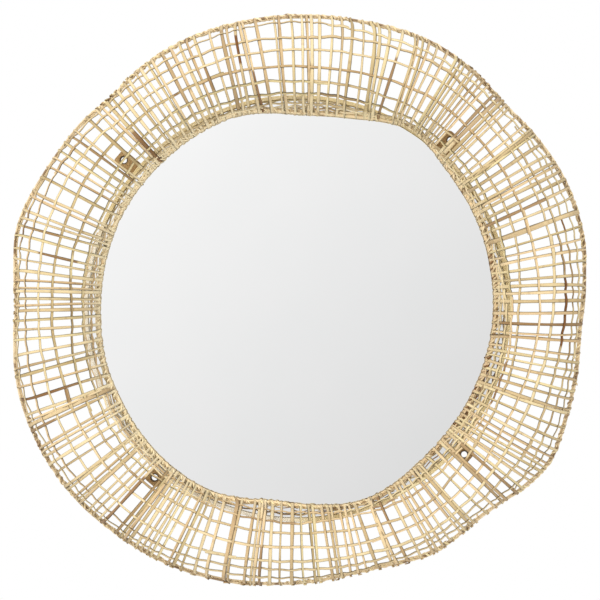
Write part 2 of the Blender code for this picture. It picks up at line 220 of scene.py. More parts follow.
# Rows next to the inner rim that can be told apart: how brown, width, how far behind the others, and
# the angle and picture radius at some places along the row. Their brown is partly bark and partly
# painted shade: the brown rows, most of them behind the others, stand in for the shadowed gaps by the inner
# rim.
CLOSING_ROWS_PX = (
    (0.0, 0.8, 0.0, ((86, 203.5), (100, 202.8), (118, 202.5), (128, 202))),
    (0.0, 0.8, 0.0, ((72, 203.5), (88, 203))),
    (0.0, 0.8, 0.0, ((121, 212.5), (133, 211.5))),
    (0.0, 0.8, 0.0, ((142, 212.5), (152, 211.5))),
    (0.1, 0.8, 0.0, ((11, 203.8), (20, 206.8))),
    (0.6, 0.7, 0.0, ((152, 214.0), (159.5, 213.5))),
    (0.6, 0.8, 0.0, ((203, 213.8), (214, 214.2), (226, 214.4), (240, 214.4), (246, 213.5))),
    (0.9, 0.7, 1.0, ((180, 199.6), (190, 199.4), (197, 202.2))),
    (0.9, 0.6, 1.0, ((198, 204.8), (205, 206.5), (214, 207.2), (226, 207.2), (238, 206.0), (243, 205))),
    (0.9, 0.7, 1.0, ((246, 204.8), (256, 204.2), (262, 203.2))),
    (0.9, 0.7, 1.0, ((269, 203.0), (277, 203.2), (291, 203.8))),
    (0.9, 0.5, 1.0, ((291, 204.6), (304, 204.6))),
    (0.9, 0.6, 1.0, ((247, 214.4), (256, 214.0), (264, 213.6))),
    (0.7, 0.6, 1.0, ((264, 213.6), (278, 213.6), (291, 213.8))),
    (0.5, 0.8, 1.0, ((317, 211.8), (330, 211.4), (343, 211.0))),
    (0.45, 0.7, 1.0, ((318, 205.6), (332, 205.8), (344, 205.0))),
    (0.8, 0.8, 1.0, ((350, 211.3), (364, 211.0))),
    (0.8, 0.8, 1.0, ((350, 202.8), (363, 202.0))),
    (0.8, 0.7, 1.0, ((363, 201.2), (372, 200.8))),
    (0.3, 0.7, 1.0, ((0, 207.4), (12, 208.0))),
    (0.8, 0.6, 1.0, ((44, 208.2), (54, 207.6))),
    (0.8, 0.7, 1.0, ((60, 202.8), (68, 202.4))),
    (0.9, 0.7, 1.0, ((73, 202.0), (86, 201.6))),
    (0.8, 0.6, 1.0, ((107, 199.5), (128, 199.3))),
    (0.8, 0.6, 1.0, ((136, 203.2), (142, 203.0), (148, 202.2))),
    (0.8, 0.7, 1.0, ((163, 205.4), (169, 204.4), (181, 202.4))),
)
# How far behind the others a row lies when its number is 1
BEHIND = 0.0030
# Side of the mirror on which the inner rim and closing rows are painted browner, as painted shade; the
# opposite side is painted lighter, as painted light.
SHADED_SIDE = 115.0
RIM_SIDE_SHADE = 0.50
SIDE_SHADE_ZERO = 0.35
ROOT = "root"


def smooth_round(knots, degrees):
    """Values at some angles of the smooth closed curve through knots of (angle, value)."""
    degrees = np.mod(np.asarray(degrees, float), 360.0)
    spots = np.array([k[0] for k in knots], float)
    values = np.array([k[1] for k in knots], float)
    count = len(knots)
    b = np.searchsorted(spots, degrees, side="right") - 1
    a, c, d = (b - 1) % count, (b + 1) % count, (b + 2) % count
    b = b % count
    before = np.mod(spots[b] - spots[a], 360.0)
    span = np.mod(spots[c] - spots[b], 360.0)
    after = np.mod(spots[d] - spots[c], 360.0)
    slope_b = (values[c] - values[a]) / (before + span)
    slope_c = (values[d] - values[b]) / (span + after)
    s = np.mod(degrees - spots[b], 360.0) / span
    return (
        values[b] * (1 + 2 * s) * (1 - s) ** 2
        + slope_b * span * s * (1 - s) ** 2
        + values[c] * s * s * (3 - 2 * s)
        + slope_c * span * s * s * (s - 1)
    )


def ripple(rng, degrees, waves, size):
    """A closed random wave round the mirror, from a few whole numbers of turns."""
    turn = np.radians(degrees)
    total = np.zeros_like(turn)
    for wave in waves:
        total = total + rng.uniform(0.5, 1.0) * np.sin(wave * turn + rng.uniform(0, 2 * math.pi))
    return total * size / math.sqrt(len(waves))


class WovenSheet:
    """Middle surface of the collar. Every cane has one length, so a narrow part stands further forward."""

    STEP = 0.25
    SPARE = 0.0012
    SOFT = 0.0015
    # Waves of the outer foot in depth: turns round the mirror, start and size
    FOOT_WAVES = ((5, 0.8, 1.0), (2, -1.1, 0.6))
    # The most that a cane is drawn straight, and the halvings that find its bend
    TAUT = 0.995
    HALVINGS = 40
    # Columns of the table
    FOOT = slice(0, 2)
    CHORD = slice(2, 4)
    WIDTH = 4
    BEND = 5

    @staticmethod
    def reach(y):
        """Distance of a depth from the camera, as a share of the camera's distance."""
        return (VIEW_DISTANCE - CAMERA_PLANE + y) / VIEW_DISTANCE

    def __init__(self):
        degrees = np.arange(0, 360, self.STEP)
        turn = np.radians(degrees)
        inner = INNER_R + smooth_round(INNER_WANDER, degrees) / 1000 + RIM_THICK / 2
        outer = OUTER_R + smooth_round(OUTER_WANDER, degrees) / 1000 - RIM_THICK / 2
        wave = sum(size * np.cos(turns * turn + start) for turns, start, size in self.FOOT_WAVES)
        foot_in = np.stack([inner, np.full_like(inner, INNER_FOOT_Y)], axis=1)
        foot_out = np.stack([outer, OUTER_FOOT_Y - OUTER_FOOT_WAVE * wave], axis=1)
        chord = foot_out - foot_in
        width = np.linalg.norm(chord, axis=1)
        ratio = np.minimum(self.TAUT, width / STAKE_LENGTH)
        low = np.full_like(ratio, 0.01)
        high = np.full_like(ratio, math.pi - 0.01)
        for _ in range(self.HALVINGS):
            middle = (low + high) / 2
            flat = np.sin(middle) / middle > ratio
            low = np.where(flat, middle, low)
            high = np.where(flat, high, middle)
        along = chord / width[:, None]
        self.table = np.column_stack([foot_in, along, width, (low + high) / 2])

    def at(self, degrees):
        """Rows of the table at some angles."""
        place = np.mod(np.asarray(degrees, float), 360.0) / self.STEP
        low = np.floor(place).astype(int)
        part = (place - low)[..., None]
        rows = len(self.table)
        return self.table[low % rows] * (1 - part) + self.table[(low + 1) % rows] * part

    def frame(self, degrees, share):
        """Points, and unit directions along the cane, round the collar and outward, as rows."""
        degrees = np.asarray(degrees, float)
        share = np.asarray(share, float)
        row = self.at(degrees)
        foot_in, chord = row[..., self.FOOT], row[..., self.CHORD]
        width, half = row[..., self.WIDTH], row[..., self.BEND]
        forward = np.stack([chord[..., 1], -chord[..., 0]], axis=-1)
        radius = STAKE_LENGTH / (2 * half)
        angle = (2 * share - 1) * half
        across = width / 2 + radius * np.sin(angle)
        rise = radius * (np.cos(angle) - np.cos(half))
        flat = foot_in + chord * across[..., None] + forward * rise[..., None]
        # From the camera no part of the arch shows beyond the outer rim
        foot_out = foot_in + chord * width[..., None]
        limit = (foot_out[..., 0] / self.reach(foot_out[..., 1]) + self.SPARE) * self.reach(flat[..., 1])
        room = limit - flat[..., 0]
        flat[..., 0] = limit - 0.5 * (room + np.sqrt(room * room + self.SOFT ** 2))
        sine, cosine = np.sin(angle)[..., None], np.cos(angle)[..., None]
        along = chord * cosine - forward * sine
        outward = chord * sine + forward * cosine
        turn = np.radians(degrees)
        radial = np.stack([np.sin(turn), np.zeros_like(turn), np.cos(turn)], axis=-1)
        depth = np.array([0.0, 1.0, 0.0])
        around = np.stack([np.cos(turn), np.zeros_like(turn), -np.sin(turn)], axis=-1)
        point, along, outward = (radial * v[..., 0:1] + depth * v[..., 1:2] for v in (flat, along, outward))
        return point, along, around, outward


SHEET = WovenSheet()


def facing(degrees, angle):
    """From 1 where the angles are the given one to -1 on the opposite side."""
    return np.cos(np.radians(degrees - angle))


def unit(rows):
    """Rows of vectors, each made 1 long."""
    return rows / np.linalg.norm(rows, axis=1)[:, None]


def square_to(step, toward):
    """Unit rows square to step, and nearest to toward."""
    return unit(toward - step * np.sum(toward * step, axis=1)[:, None])


def spread_nine(values, mode):
    """Means of nine neighbours. The ends are padded by repeating them, or by going round."""
    return np.convolve(np.pad(values, 4, mode), np.full(9, 1 / 9), "valid")


def face_outward(mesh):
    """Turns every face of a mesh outward."""
    work = bmesh.new()
    work.from_mesh(mesh)
    bmesh.ops.recalc_face_normals(work, faces=work.faces)
    work.to_mesh(mesh)
    work.free()


def finish_mesh(mesh, sharp, material):
    """Shades a mesh smooth, apart from edges sharper than some degrees, and gives it its material."""
    mesh.polygons.foreach_set("use_smooth", [True] * len(mesh.polygons))
    mesh.set_sharp_from_angle(angle=math.radians(sharp))
    mesh.materials.append(material)


class StripStock:
    """Gathers strips as one mesh, with what the cane finish needs at each point."""

    FLAT = ((-0.5, -0.5), (0.5, -0.5), (0.5, 0.12), (0.27, 0.5), (-0.27, 0.5), (-0.5, 0.12))
    ROUND = tuple((0.5 * math.cos(math.tau * i / 7), 0.5 * math.sin(math.tau * i / 7)) for i in range(7))
    # Keeps strips of different tones apart in the grain
    TONE_RUN = 7.3
    SHARP = 50

    # stained sets how strongly a stock paints shade on one side of the mirror and light on the other
    def __init__(self, stained=0.0):
        self.points = []
        self.faces = []
        self.notes = []
        self.start = 0
        self.stained = stained

    def add(self, path, across, outward, width, thick, tone, brown=0.0, closed=False, section=None):
        """One strip along path, kept inside the box. Width, thick and brown may change along it."""
        section = np.array(section or self.FLAT)
        room = 0.5 * float(np.hypot(np.max(width), np.max(thick)))
        path = np.clip(path, BOX_LOW + room, BOX_HIGH - room)
        # Painted shade: strips are browner toward the shaded side of the mirror, and lighter toward the
        # other side as painted light
        side = facing(np.degrees(np.arctan2(path[:, 0], path[:, 2])), SHADED_SIDE)
        brown = brown + self.stained * (side - SIDE_SHADE_ZERO)
        count, sides = len(path), len(section)
        width = np.broadcast_to(np.asarray(width, float), count)
        thick = np.broadcast_to(np.asarray(thick, float), count)
        brown = np.broadcast_to(np.asarray(brown, float), count)
        ring = (
            path[:, None, :]
            + across[:, None, :] * (section[None, :, 0:1] * width[:, None, None])
            + outward[:, None, :] * (section[None, :, 1:2] * thick[:, None, None])
        )
        self.points.append(ring.reshape(-1, 3))
        run = np.concatenate([[0.0], np.cumsum(np.linalg.norm(np.diff(path, axis=0), axis=1))])
        note = np.empty((count, sides, 4))
        note[..., 0] = run[:, None] + self.TONE_RUN * tone
        note[..., 1] = section[None, :, 0]
        note[..., 2] = tone
        note[..., 3] = brown[:, None]
        self.notes.append(note.reshape(-1, 4))
        low = self.start + np.arange(count if closed else count - 1)[:, None] * sides
        high = low + sides
        if closed:
            high[-1] = self.start
        side = np.arange(sides)
        next_side = (side + 1) % sides
        quads = np.stack([low + side, low + next_side, high + next_side, high + side], axis=-1)
        self.faces.extend(quads.reshape(-1, 4).tolist())
        if not closed:
            last = self.start + (count - 1) * sides
            self.faces.append([self.start + i for i in range(sides)][::-1])
            self.faces.append([last + i for i in range(sides)])
        self.start += count * sides

    def build(self, name, material, slot):
        """Makes the gathered strips one piece."""
        mesh = bpy.data.meshes.new(name)
        points = np.concatenate(self.points)
        mesh.from_pydata(points.tolist(), [], self.faces)
        face_outward(mesh)
        notes = np.concatenate(self.notes)
        for column, title in enumerate(("cane_run", "cane_side", "cane_tone", "cane_brown")):
            store = mesh.attributes.new(title, "FLOAT", "POINT")
            store.data.foreach_set("value", np.ascontiguousarray(notes[:, column], np.float32))
        finish_mesh(mesh, self.SHARP, material)
        return link_piece(name, mesh)


def link_piece(name, mesh):
    """Puts a mesh in the scene as a piece that rides on the mirror."""
    piece = bpy.data.objects.new(name, mesh)
    bpy.context.scene.collection.objects.link(piece)
    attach(piece, ROOT)
    return piece


def rotate(vectors, axes, angles):
    """Rows of vectors turned about rows of unit axes."""
    cosine, sine = np.cos(angles)[:, None], np.sin(angles)[:, None]
    dot = np.sum(vectors * axes, axis=1)[:, None]
    return vectors * cosine + np.cross(axes, vectors) * sine + axes * dot * (1 - cosine)


# Shader groups

# Tints by which a colour is multiplied, and colours that are mixed in
GREENER = (0.92, 0.98, 0.80, 1.0)
PINKER = (1.0, 0.88, 0.86, 1.0)
PLAIN_BACK = (0.55, 0.47, 0.42, 1.0)
# Colour of the painted light on the board's front
BOARD_PAINTED_LIGHT = (0.97, 0.93, 0.83, 1.0)
# Colour of the painted shade round the ears' holes
HOLE_SHADE = (0.05, 0.03, 0.015, 1.0)
GLASS_HAZE = (0.985, 0.99, 0.99)
# How much a strip's edges are darkened, as painted shade along one side with darker cut edges, in the rims
# and elsewhere
RIM_EDGE = 0.20
CANE_EDGE = 0.62
WHITE = (1.0, 1.0, 1.0, 1.0)


def new_group(name, inputs, outputs):
    """An empty shader group, with its inner sockets."""
    group = bpy.data.node_groups.new(name, "ShaderNodeTree")
    for title, kind, value in inputs:
        socket = group.interface.new_socket(name=title, in_out="INPUT", socket_type=kind)
        if value is not None:
            socket.default_value = value
    for title, kind in outputs:
        group.interface.new_socket(name=title, in_out="OUTPUT", socket_type=kind)
    start = group.nodes.new("NodeGroupInput")
    end = group.nodes.new("NodeGroupOutput")
    return group, start.outputs, end.inputs


class Wiring:
    """Short ways to add and join shader nodes."""

    def __init__(self, tree):
        self.tree = tree

    def put(self, kind, links=(), **settings):
        """A node, with its sockets joined or set."""
        node = self.tree.nodes.new(kind)
        for key, value in settings.items():
            setattr(node, key, value)
        for socket, source in dict(links).items():
            target = node.inputs[socket]
            if isinstance(source, bpy.types.NodeSocket):
                self.tree.links.new(source, target)
            else:
                target.default_value = source
        return node

    def math(self, operation, *values):
        """A sum of two values, or one value changed."""
        node = self.tree.nodes.new("ShaderNodeMath")
        node.operation = operation
        for socket, value in zip(node.inputs, values):
            if isinstance(value, bpy.types.NodeSocket):
                self.tree.links.new(value, socket)
            else:
                socket.default_value = value
        return node.outputs[0]

    def times(self, vector, factors):
        """A vector with its three parts multiplied."""
        return self.put("ShaderNodeVectorMath", {0: vector, 1: factors}, operation="MULTIPLY").outputs[0]

    def mix(self, factor, first, second, blend="MIX"):
        """Two colours mixed."""
        node = self.put("ShaderNodeMix", data_type="RGBA", blend_type=blend)
        for name, value in (("Factor", factor), ("A", first), ("B", second)):
            sockets = [s for s in node.inputs if s.name == name and s.enabled]
            if isinstance(value, bpy.types.NodeSocket):
                self.tree.links.new(value, sockets[0])
            else:
                sockets[0].default_value = value
        return [s for s in node.outputs if s.enabled][0]

    def tint(self, colour, by):
        """A colour multiplied by another."""
        return self.mix(1.0, colour, by, "MULTIPLY")

    def span(self, value, low, high, out_low=0.0, out_high=1.0):
        """A value moved from one range to another, and held at the ends."""
        node = self.put("ShaderNodeMapRange", {"Value": value, "From Min": low, "From Max": high})
        node.inputs["To Min"].default_value = out_low
        node.inputs["To Max"].default_value = out_high
        node.clamp = True
        return node.outputs[0]

    def noise(self, vector, scale, detail=2.0, rough=0.5):
        """Cloudy values round one half."""
        node = self.put("ShaderNodeTexNoise", {"Vector": vector, "Scale": scale})
        node.inputs["Detail"].default_value = detail
        node.inputs["Roughness"].default_value = rough
        return node.outputs["Fac"]


def cane_group():
    """Colour, gloss and grain of split cane peel, from the run along a strip and the side across it."""
    group, given, out = new_group(
        "split_cane",
        (
            ("Run", "NodeSocketFloat", 0.0),
            ("Side", "NodeSocketFloat", 0.0),
            ("Tone", "NodeSocketFloat", 0.5),
            ("Brown", "NodeSocketFloat", 0.0),
            ("Pale", "NodeSocketColor", None),
            ("Tan", "NodeSocketColor", None),
            ("Bark", "NodeSocketColor", None),
            ("Painted_light_colour", "NodeSocketColor", None),
            ("Edge", "NodeSocketFloat", CANE_EDGE),
        ),
        (("Color", "NodeSocketColor"), ("Roughness", "NodeSocketFloat"), ("Height", "NodeSocketFloat")),
    )
    w = Wiring(group)
    place = w.put("ShaderNodeCombineXYZ", {"X": given["Run"], "Y": given["Side"], "Z": given["Tone"]})
    drift = w.noise(w.times(place.outputs[0], (14.0, 0.5, 31.0)), 1.0, 2.0)
    fibre = w.noise(w.times(place.outputs[0], (60.0, 9.0, 57.0)), 1.0, 3.0, 0.6)
    fleck = w.noise(w.times(place.outputs[0], (190.0, 3.0, 83.0)), 1.0, 1.0)
    level = w.math("ADD", w.math("MULTIPLY", given["Tone"], 0.75), w.math("MULTIPLY", drift, 0.9))
    shade = w.span(level, 0.35, 1.25)
    base = w.mix(shade, given["Pale"], given["Tan"])
    # Some strips are greener and some pinker
    kind = w.math("FRACT", w.math("MULTIPLY", given["Tone"], 5.3))
    base = w.mix(w.span(kind, 0.60, 1.0, 0.0, 0.45), base, w.tint(base, GREENER))
    base = w.mix(w.span(kind, 0.40, 0.0, 0.0, 0.60), base, w.tint(base, PINKER))
    # Below zero, brown means painted light: the colour moves toward the painted light colour
    base = w.mix(w.span(given["Brown"], 0.0, -1.0), base, given["Painted_light_colour"])
    # Joints of the cane, a narrow darker ring every hand's width
    beat = w.math("ADD", w.math("MULTIPLY", given["Run"], 6.2), w.math("MULTIPLY", given["Tone"], 17.0))
    ring = w.math("ABSOLUTE", w.math("SUBTRACT", w.math("FRACT", beat), 0.5))
    joint = w.span(ring, 0.020, 0.004)
    blotch = w.math("MULTIPLY", w.span(drift, 0.66, 0.78), w.span(given["Tone"], 0.55, 0.95))
    mark = w.math("MAXIMUM", w.math("MULTIPLY", joint, 0.22), w.math("MULTIPLY", blotch, 0.35))
    # Brown above zero darkens toward bark: real bark and stains, and on the rims also painted shade on one
    # side of the mirror
    mark = w.math("MAXIMUM", mark, w.math("MULTIPLY", given["Brown"], w.span(drift, 0.2, 0.5, 0.75, 1.0)))
    mark = w.math("MAXIMUM", mark, w.math("MULTIPLY", w.span(fleck, 0.66, 0.80), 0.35))
    stained = w.mix(mark, base, given["Bark"])
    # Painted shade along the strip's edges, stronger on one side, with the darker cut edges
    lean = w.math("MULTIPLY", w.math("SUBTRACT", kind, 0.5), 0.30)
    edge = w.span(w.math("ABSOLUTE", w.math("ADD", given["Side"], lean)), 0.30, 0.52)
    edge_shade_and_cut = w.math("MULTIPLY", edge, given["Edge"])
    streak = w.math("MULTIPLY", w.span(fibre, 0.35, 0.75), 0.24)
    depth = w.math("SUBTRACT", 1.0, w.math("ADD", edge_shade_and_cut, streak))
    grey = w.put("ShaderNodeCombineColor", {"Red": depth, "Green": depth, "Blue": depth})
    group.links.new(w.tint(stained, grey.outputs[0]), out["Color"])
    group.links.new(w.span(fibre, 0.2, 0.8, 0.42, 0.68), out["Roughness"])
    height = w.math("ADD", w.math("MULTIPLY", fibre, 0.7), w.math("MULTIPLY", joint, 0.6))
    group.links.new(height, out["Height"])
    return group


def wood_group():
    """Mottled brown of stained fibreboard or ply, with fine pores."""
    group, given, out = new_group(
        "stained_board",
        (
            ("Light", "NodeSocketColor", None),
            ("Dark", "NodeSocketColor", None),
        ),
        (("Color", "NodeSocketColor"), ("Roughness", "NodeSocketFloat"), ("Height", "NodeSocketFloat")),
    )
    w = Wiring(group)
    spot = w.put("ShaderNodeTexCoord").outputs["Object"]
    cloud = w.noise(spot, 18.0, 4.0, 0.6)
    pore = w.noise(spot, 420.0, 2.0, 0.6)
    mixed = w.math("ADD", w.math("MULTIPLY", cloud, 0.7), w.math("MULTIPLY", pore, 0.45))
    colour = w.mix(w.span(mixed, 0.35, 0.8), given["Dark"], given["Light"])
    group.links.new(colour, out["Color"])
    group.links.new(w.span(pore, 0.3, 0.7, 0.55, 0.75), out["Roughness"])
    group.links.new(pore, out["Height"])
    return group


GROUPS = {}


def shared_group(name, maker):
    """A shader group, built the first time that it is asked for."""
    if name not in GROUPS:
        GROUPS[name] = maker()
    return GROUPS[name]


def base_material(name):
    """A new material, with its wiring and its shader."""
    material = bpy.data.materials.new(name)
    material.use_nodes = True
    return material, Wiring(material.node_tree), material.node_tree.nodes["Principled BSDF"]


def relief(w, shader, height, strength):
    """Fine grain on the surface."""
    bump = w.put("ShaderNodeBump", {"Height": height, "Distance": 0.0003, "Strength": strength})
    w.tree.links.new(bump.outputs["Normal"], shader.inputs["Normal"])


def cane_material(name, colours, rim=False):
    """Split cane. That of the rims is painted paler, as painted light."""
    material, w, shader = base_material(name)
    look = w.put("ShaderNodeGroup")
    look.node_tree = shared_group("split_cane", cane_group)
    for title in ("Run", "Side", "Tone", "Brown"):
        attribute = w.put("ShaderNodeAttribute", attribute_name="cane_" + title.lower())
        w.tree.links.new(attribute.outputs["Fac"], look.inputs[title])
    look.inputs["Pale"].default_value = (*(colours.rim_pale if rim else colours.pale), 1.0)
    look.inputs["Tan"].default_value = (*(colours.rim_tan if rim else colours.tan), 1.0)
    look.inputs["Bark"].default_value = (*colours.bark, 1.0)
    # Colour toward which painted light lightens the canes
    look.inputs["Painted_light_colour"].default_value = (*colours.rim_pale, 1.0)
    look.inputs["Edge"].default_value = RIM_EDGE if rim else CANE_EDGE
    w.tree.links.new(look.outputs["Color"], shader.inputs["Base Color"])
    w.tree.links.new(look.outputs["Roughness"], shader.inputs["Roughness"])
    shader.inputs["Specular IOR Level"].default_value = 0.25
    relief(w, shader, look.outputs["Height"], 0.6)
    return material


def wood_material(name, light, dark, holes=(), lit_toward=None):
    """Board or ply. Holes have painted shade round their edges. A board may have painted light on its front,
    paler toward one angle.
    """
    material, w, shader = base_material(name)
    look = w.put("ShaderNodeGroup")
    look.node_tree = shared_group("stained_board", wood_group)
    look.inputs["Light"].default_value = (*light, 1.0)
    look.inputs["Dark"].default_value = (*dark, 1.0)
    colour = look.outputs["Color"]
    if holes:
        spot = w.put("ShaderNodeTexCoord").outputs["Object"]
        flat = w.times(spot, (1.0, 0.0, 1.0))
        near = None
        for hole in holes:
            gap = w.put("ShaderNodeVectorMath", {0: flat, 1: hole}, operation="DISTANCE").outputs["Value"]
            near = gap if near is None else w.math("MINIMUM", near, gap)
        # Painted shade round each hole, where its wall lies in shadow
        hole_wall_shade = w.span(near, EAR_HOLE_D * 0.64, EAR_HOLE_D * 0.58, 0.0, 0.85)
        colour = w.mix(hole_wall_shade, colour, HOLE_SHADE)
    if lit_toward is not None:
        spot = w.put("ShaderNodeTexCoord").outputs["Object"]
        way = w.put("ShaderNodeVectorMath", {0: spot}, operation="NORMALIZE").outputs[0]
        toward = tuple(ear_frame(lit_toward)[0])
        side = w.put("ShaderNodeVectorMath", {0: way, 1: toward}, operation="DOT_PRODUCT").outputs["Value"]
        # Painted light: the board is paler toward the lit angle
        colour = w.mix(w.span(side, 0.50, 0.62, 0.0, 0.85), colour, BOARD_PAINTED_LIGHT)
        depth = w.put("ShaderNodeSeparateXYZ", {"Vector": spot}).outputs["Y"]
        plain = w.tint(look.outputs["Color"], PLAIN_BACK)
        colour = w.mix(w.span(depth, -0.013, -0.006), colour, plain)
    w.tree.links.new(colour, shader.inputs["Base Color"])
    w.tree.links.new(look.outputs["Roughness"], shader.inputs["Roughness"])
    shader.inputs["Specular IOR Level"].default_value = 0.3
    relief(w, shader, look.outputs["Height"], 0.4)
    return material


def glass_material(name, tint):
    """Silvered glass with a trace of haze."""
    material, w, shader = base_material(name)
    spot = w.put("ShaderNodeTexCoord")
    haze = w.noise(spot.outputs["Object"], 9.0, 3.0)
    hazy = (*(part * share for part, share in zip(tint, GLASS_HAZE)), 1.0)
    colour = w.mix(w.span(haze, 0.3, 0.7), (*tint, 1.0), hazy)
    w.tree.links.new(colour, shader.inputs["Base Color"])
    w.tree.links.new(w.span(haze, 0.3, 0.8, 0.004, 0.02), shader.inputs["Roughness"])
    shader.inputs["Metallic"].default_value = 1.0
    return material


# Settings that a user would change


class CaneSettings(bpy.types.PropertyGroup):
    """Sizes and colours of the cane"""

    width: bpy.props.FloatProperty(
        name="Cane width", description="Mean width of a radial cane", default=0.0040, unit="LENGTH"
    )
    thick: bpy.props.FloatProperty(
        name="Cane thickness", description="Thickness of a radial cane", default=0.0013, unit="LENGTH"
    )
    hoop_width: bpy.props.FloatProperty(
        name="Hoop width", description="Mean width of a woven hoop", default=0.0036, unit="LENGTH"
    )
    hoop_thick: bpy.props.FloatProperty(
        name="Hoop thickness", description="Thickness of a woven hoop", default=0.0012, unit="LENGTH"
    )
    rod: bpy.props.FloatProperty(
        name="Rim rod", description="Diameter of one rod in a rim bundle", default=0.0029, unit="LENGTH"
    )
    pale: bpy.props.FloatVectorProperty(
        name="Pale cane", description="Lightest cane peel",
        subtype="COLOR", size=3, default=(0.82, 0.665, 0.39),
    )
    tan: bpy.props.FloatVectorProperty(
        name="Tan cane", description="Darker cane peel",
        subtype="COLOR", size=3, default=(0.50, 0.36, 0.18),
    )
    # The rims' colours are paler than those of the other canes, as painted light
    rim_pale: bpy.props.FloatVectorProperty(
        name="Pale rim", description="Lightest strip in the rims",
        subtype="COLOR", size=3, default=(1.0, 0.86, 0.57),
    )
    rim_tan: bpy.props.FloatVectorProperty(
        name="Tan rim", description="Darker strip in the rims",
        subtype="COLOR", size=3, default=(0.88, 0.69, 0.38),
    )
    bark: bpy.props.FloatVectorProperty(
        name="Bark", description="Brown bark, joints and stains",
        subtype="COLOR", size=3, default=(0.19, 0.078, 0.022),
    )


class BoardSettings(bpy.types.PropertyGroup):
    """Colours of the board, the ears and the glass"""

    light: bpy.props.FloatVectorProperty(
        name="Board light", description="Lighter brown of the board",
        subtype="COLOR", size=3, default=(0.93, 0.79, 0.47),
    )
    dark: bpy.props.FloatVectorProperty(
        name="Board dark", description="Darker brown of the board",
        subtype="COLOR", size=3, default=(0.70, 0.55, 0.27),
    )
    ear_light: bpy.props.FloatVectorProperty(
        name="Ear light", description="Lighter brown of the ears",
        subtype="COLOR", size=3, default=(0.50, 0.33, 0.15),
    )
    ear_dark: bpy.props.FloatVectorProperty(
        name="Ear dark", description="Darker brown of the ears",
        subtype="COLOR", size=3, default=(0.24, 0.14, 0.055),
    )
    silver: bpy.props.FloatVectorProperty(
        name="Silvering", description="Colour of the mirror's silvering",
        subtype="COLOR", size=3, default=(0.95, 0.95, 0.95),
    )


class StageSettings(bpy.types.PropertyGroup):
    """Camera and light"""

    distance: bpy.props.FloatProperty(
        name="Camera distance", description="From the rims to the camera",
        default=VIEW_DISTANCE, unit="LENGTH",
    )
    sky: bpy.props.FloatProperty(
        name="Room light", description="Strength of the white surround", default=0.78
    )
    key: bpy.props.FloatProperty(
        name="Key light", description="Power of the soft front light", default=105.0, unit="POWER"
    )
    metres_per_pixel: bpy.props.FloatProperty(
        name="Scale", description="Metres that one picture pixel covers at the rims",
        default=METRES_PER_PIXEL, precision=6,
    )


def settings():
    """The settings of the cane, the board and the stage."""
    scene = bpy.context.scene
    return scene.mirror_cane, scene.mirror_board, scene.mirror_stage


# The collar


class Layout:
    """Where each radial cane and each hoop runs, and how it varies."""

    # Shares: the least gap between hoops, where it is counted from, and the last hoop's limit
    APART = 0.055
    FIRST_LOW = 0.02
    LAST_HIGH = 0.955

    def __init__(self, cane):
        rng = random.Random(41)
        self.middle = np.array([angle for row in CANE_ANGLES for angle in row])
        self.count = len(self.middle)
        if self.count % 2:
            raise ValueError("an odd number of canes would not weave closed")
        self.lean = smooth_round(CANE_LEAN, self.middle)
        self.lean += np.array([rng.gauss(0, 0.12) for _ in range(self.count)])
        self.bow = np.array([rng.gauss(0, 0.12) for _ in range(self.count)])
        self.bend = np.array([rng.gauss(0, 0.08) for _ in range(self.count)])
        self.tone = np.array([rng.random() for _ in range(self.count)])
        self.width = cane.width * np.array([rng.uniform(0.72, 1.25) for _ in range(self.count)])
        self.twist = np.array([rng.gauss(0, 0.22) for _ in range(self.count)])
        self.brown = [(0.0, 0.0, 0.0)] * self.count
        for angle, low, high, depth, wide in MARKED_CANES:
            near = int(np.argmin(np.abs((self.middle - angle + 180) % 360 - 180)))
            self.brown[near] = (low, high, depth)
            self.width[near] = cane.width * wide
        self.hoops = self.hoop_shares()

    def angle(self, number, share):
        """Angle of a cane at a share, as an array over shares."""
        share = np.asarray(share, float)
        off = 0.5 - share
        return (
            self.middle[number]
            + self.lean[number] * off
            + self.bow[number] * (1 - 4 * off * off)
            + self.bend[number] * np.sin(2 * math.pi * share)
        )

    def hoop_shares(self):
        """Share of each hoop at every degree, from where the camera sees it."""
        degrees = np.arange(360.0)
        last = self.FIRST_LOW
        rows = []
        for radii in HOOP_RADII_PX:
            knots = tuple((HOOP_STEP * k, radius) for k, radius in enumerate(radii))
            share = share_seen(degrees, smooth_round(knots, degrees) * METRES_PER_PIXEL)
            share = np.clip(share, last + self.APART, self.LAST_HIGH)
            rows.append(spread_nine(share, "wrap"))
            last = rows[-1]
        return np.array(rows)

    def hoop_share(self, number, degrees):
        """Share of one hoop at some angles. Number 0 is the hoop next to the inner rim."""
        row = self.hoops[number]
        return np.interp(np.mod(degrees, 360.0), np.arange(361), np.append(row, row[0]))

    def hoop_count(self, degrees, share):
        """Running number along a cane: whole at each hoop, 0 at the inner rim."""
        places = [self.hoop_share(k, degrees) for k in range(len(self.hoops))]
        count = np.zeros_like(share)
        low = np.zeros_like(share)
        for place in places + [np.ones_like(share)]:
            count += np.clip((share - low) / (place - low), 0.0, 1.0)
            low = place
        return count

    def index_at(self, degrees, share):
        """Running number of the cane at each angle along a hoop, for the turns over and under."""
        spots = np.array([float(self.angle(i, share)) for i in range(self.count)])
        order = np.maximum.accumulate(spots) + np.arange(self.count) * 1e-6
        spots = np.concatenate([[order[-1] - 360.0], order, [order[0] + 360.0]])
        numbers = np.arange(-1.0, self.count + 1)
        return np.interp(np.mod(degrees - order[0], 360.0) + order[0], spots, numbers)


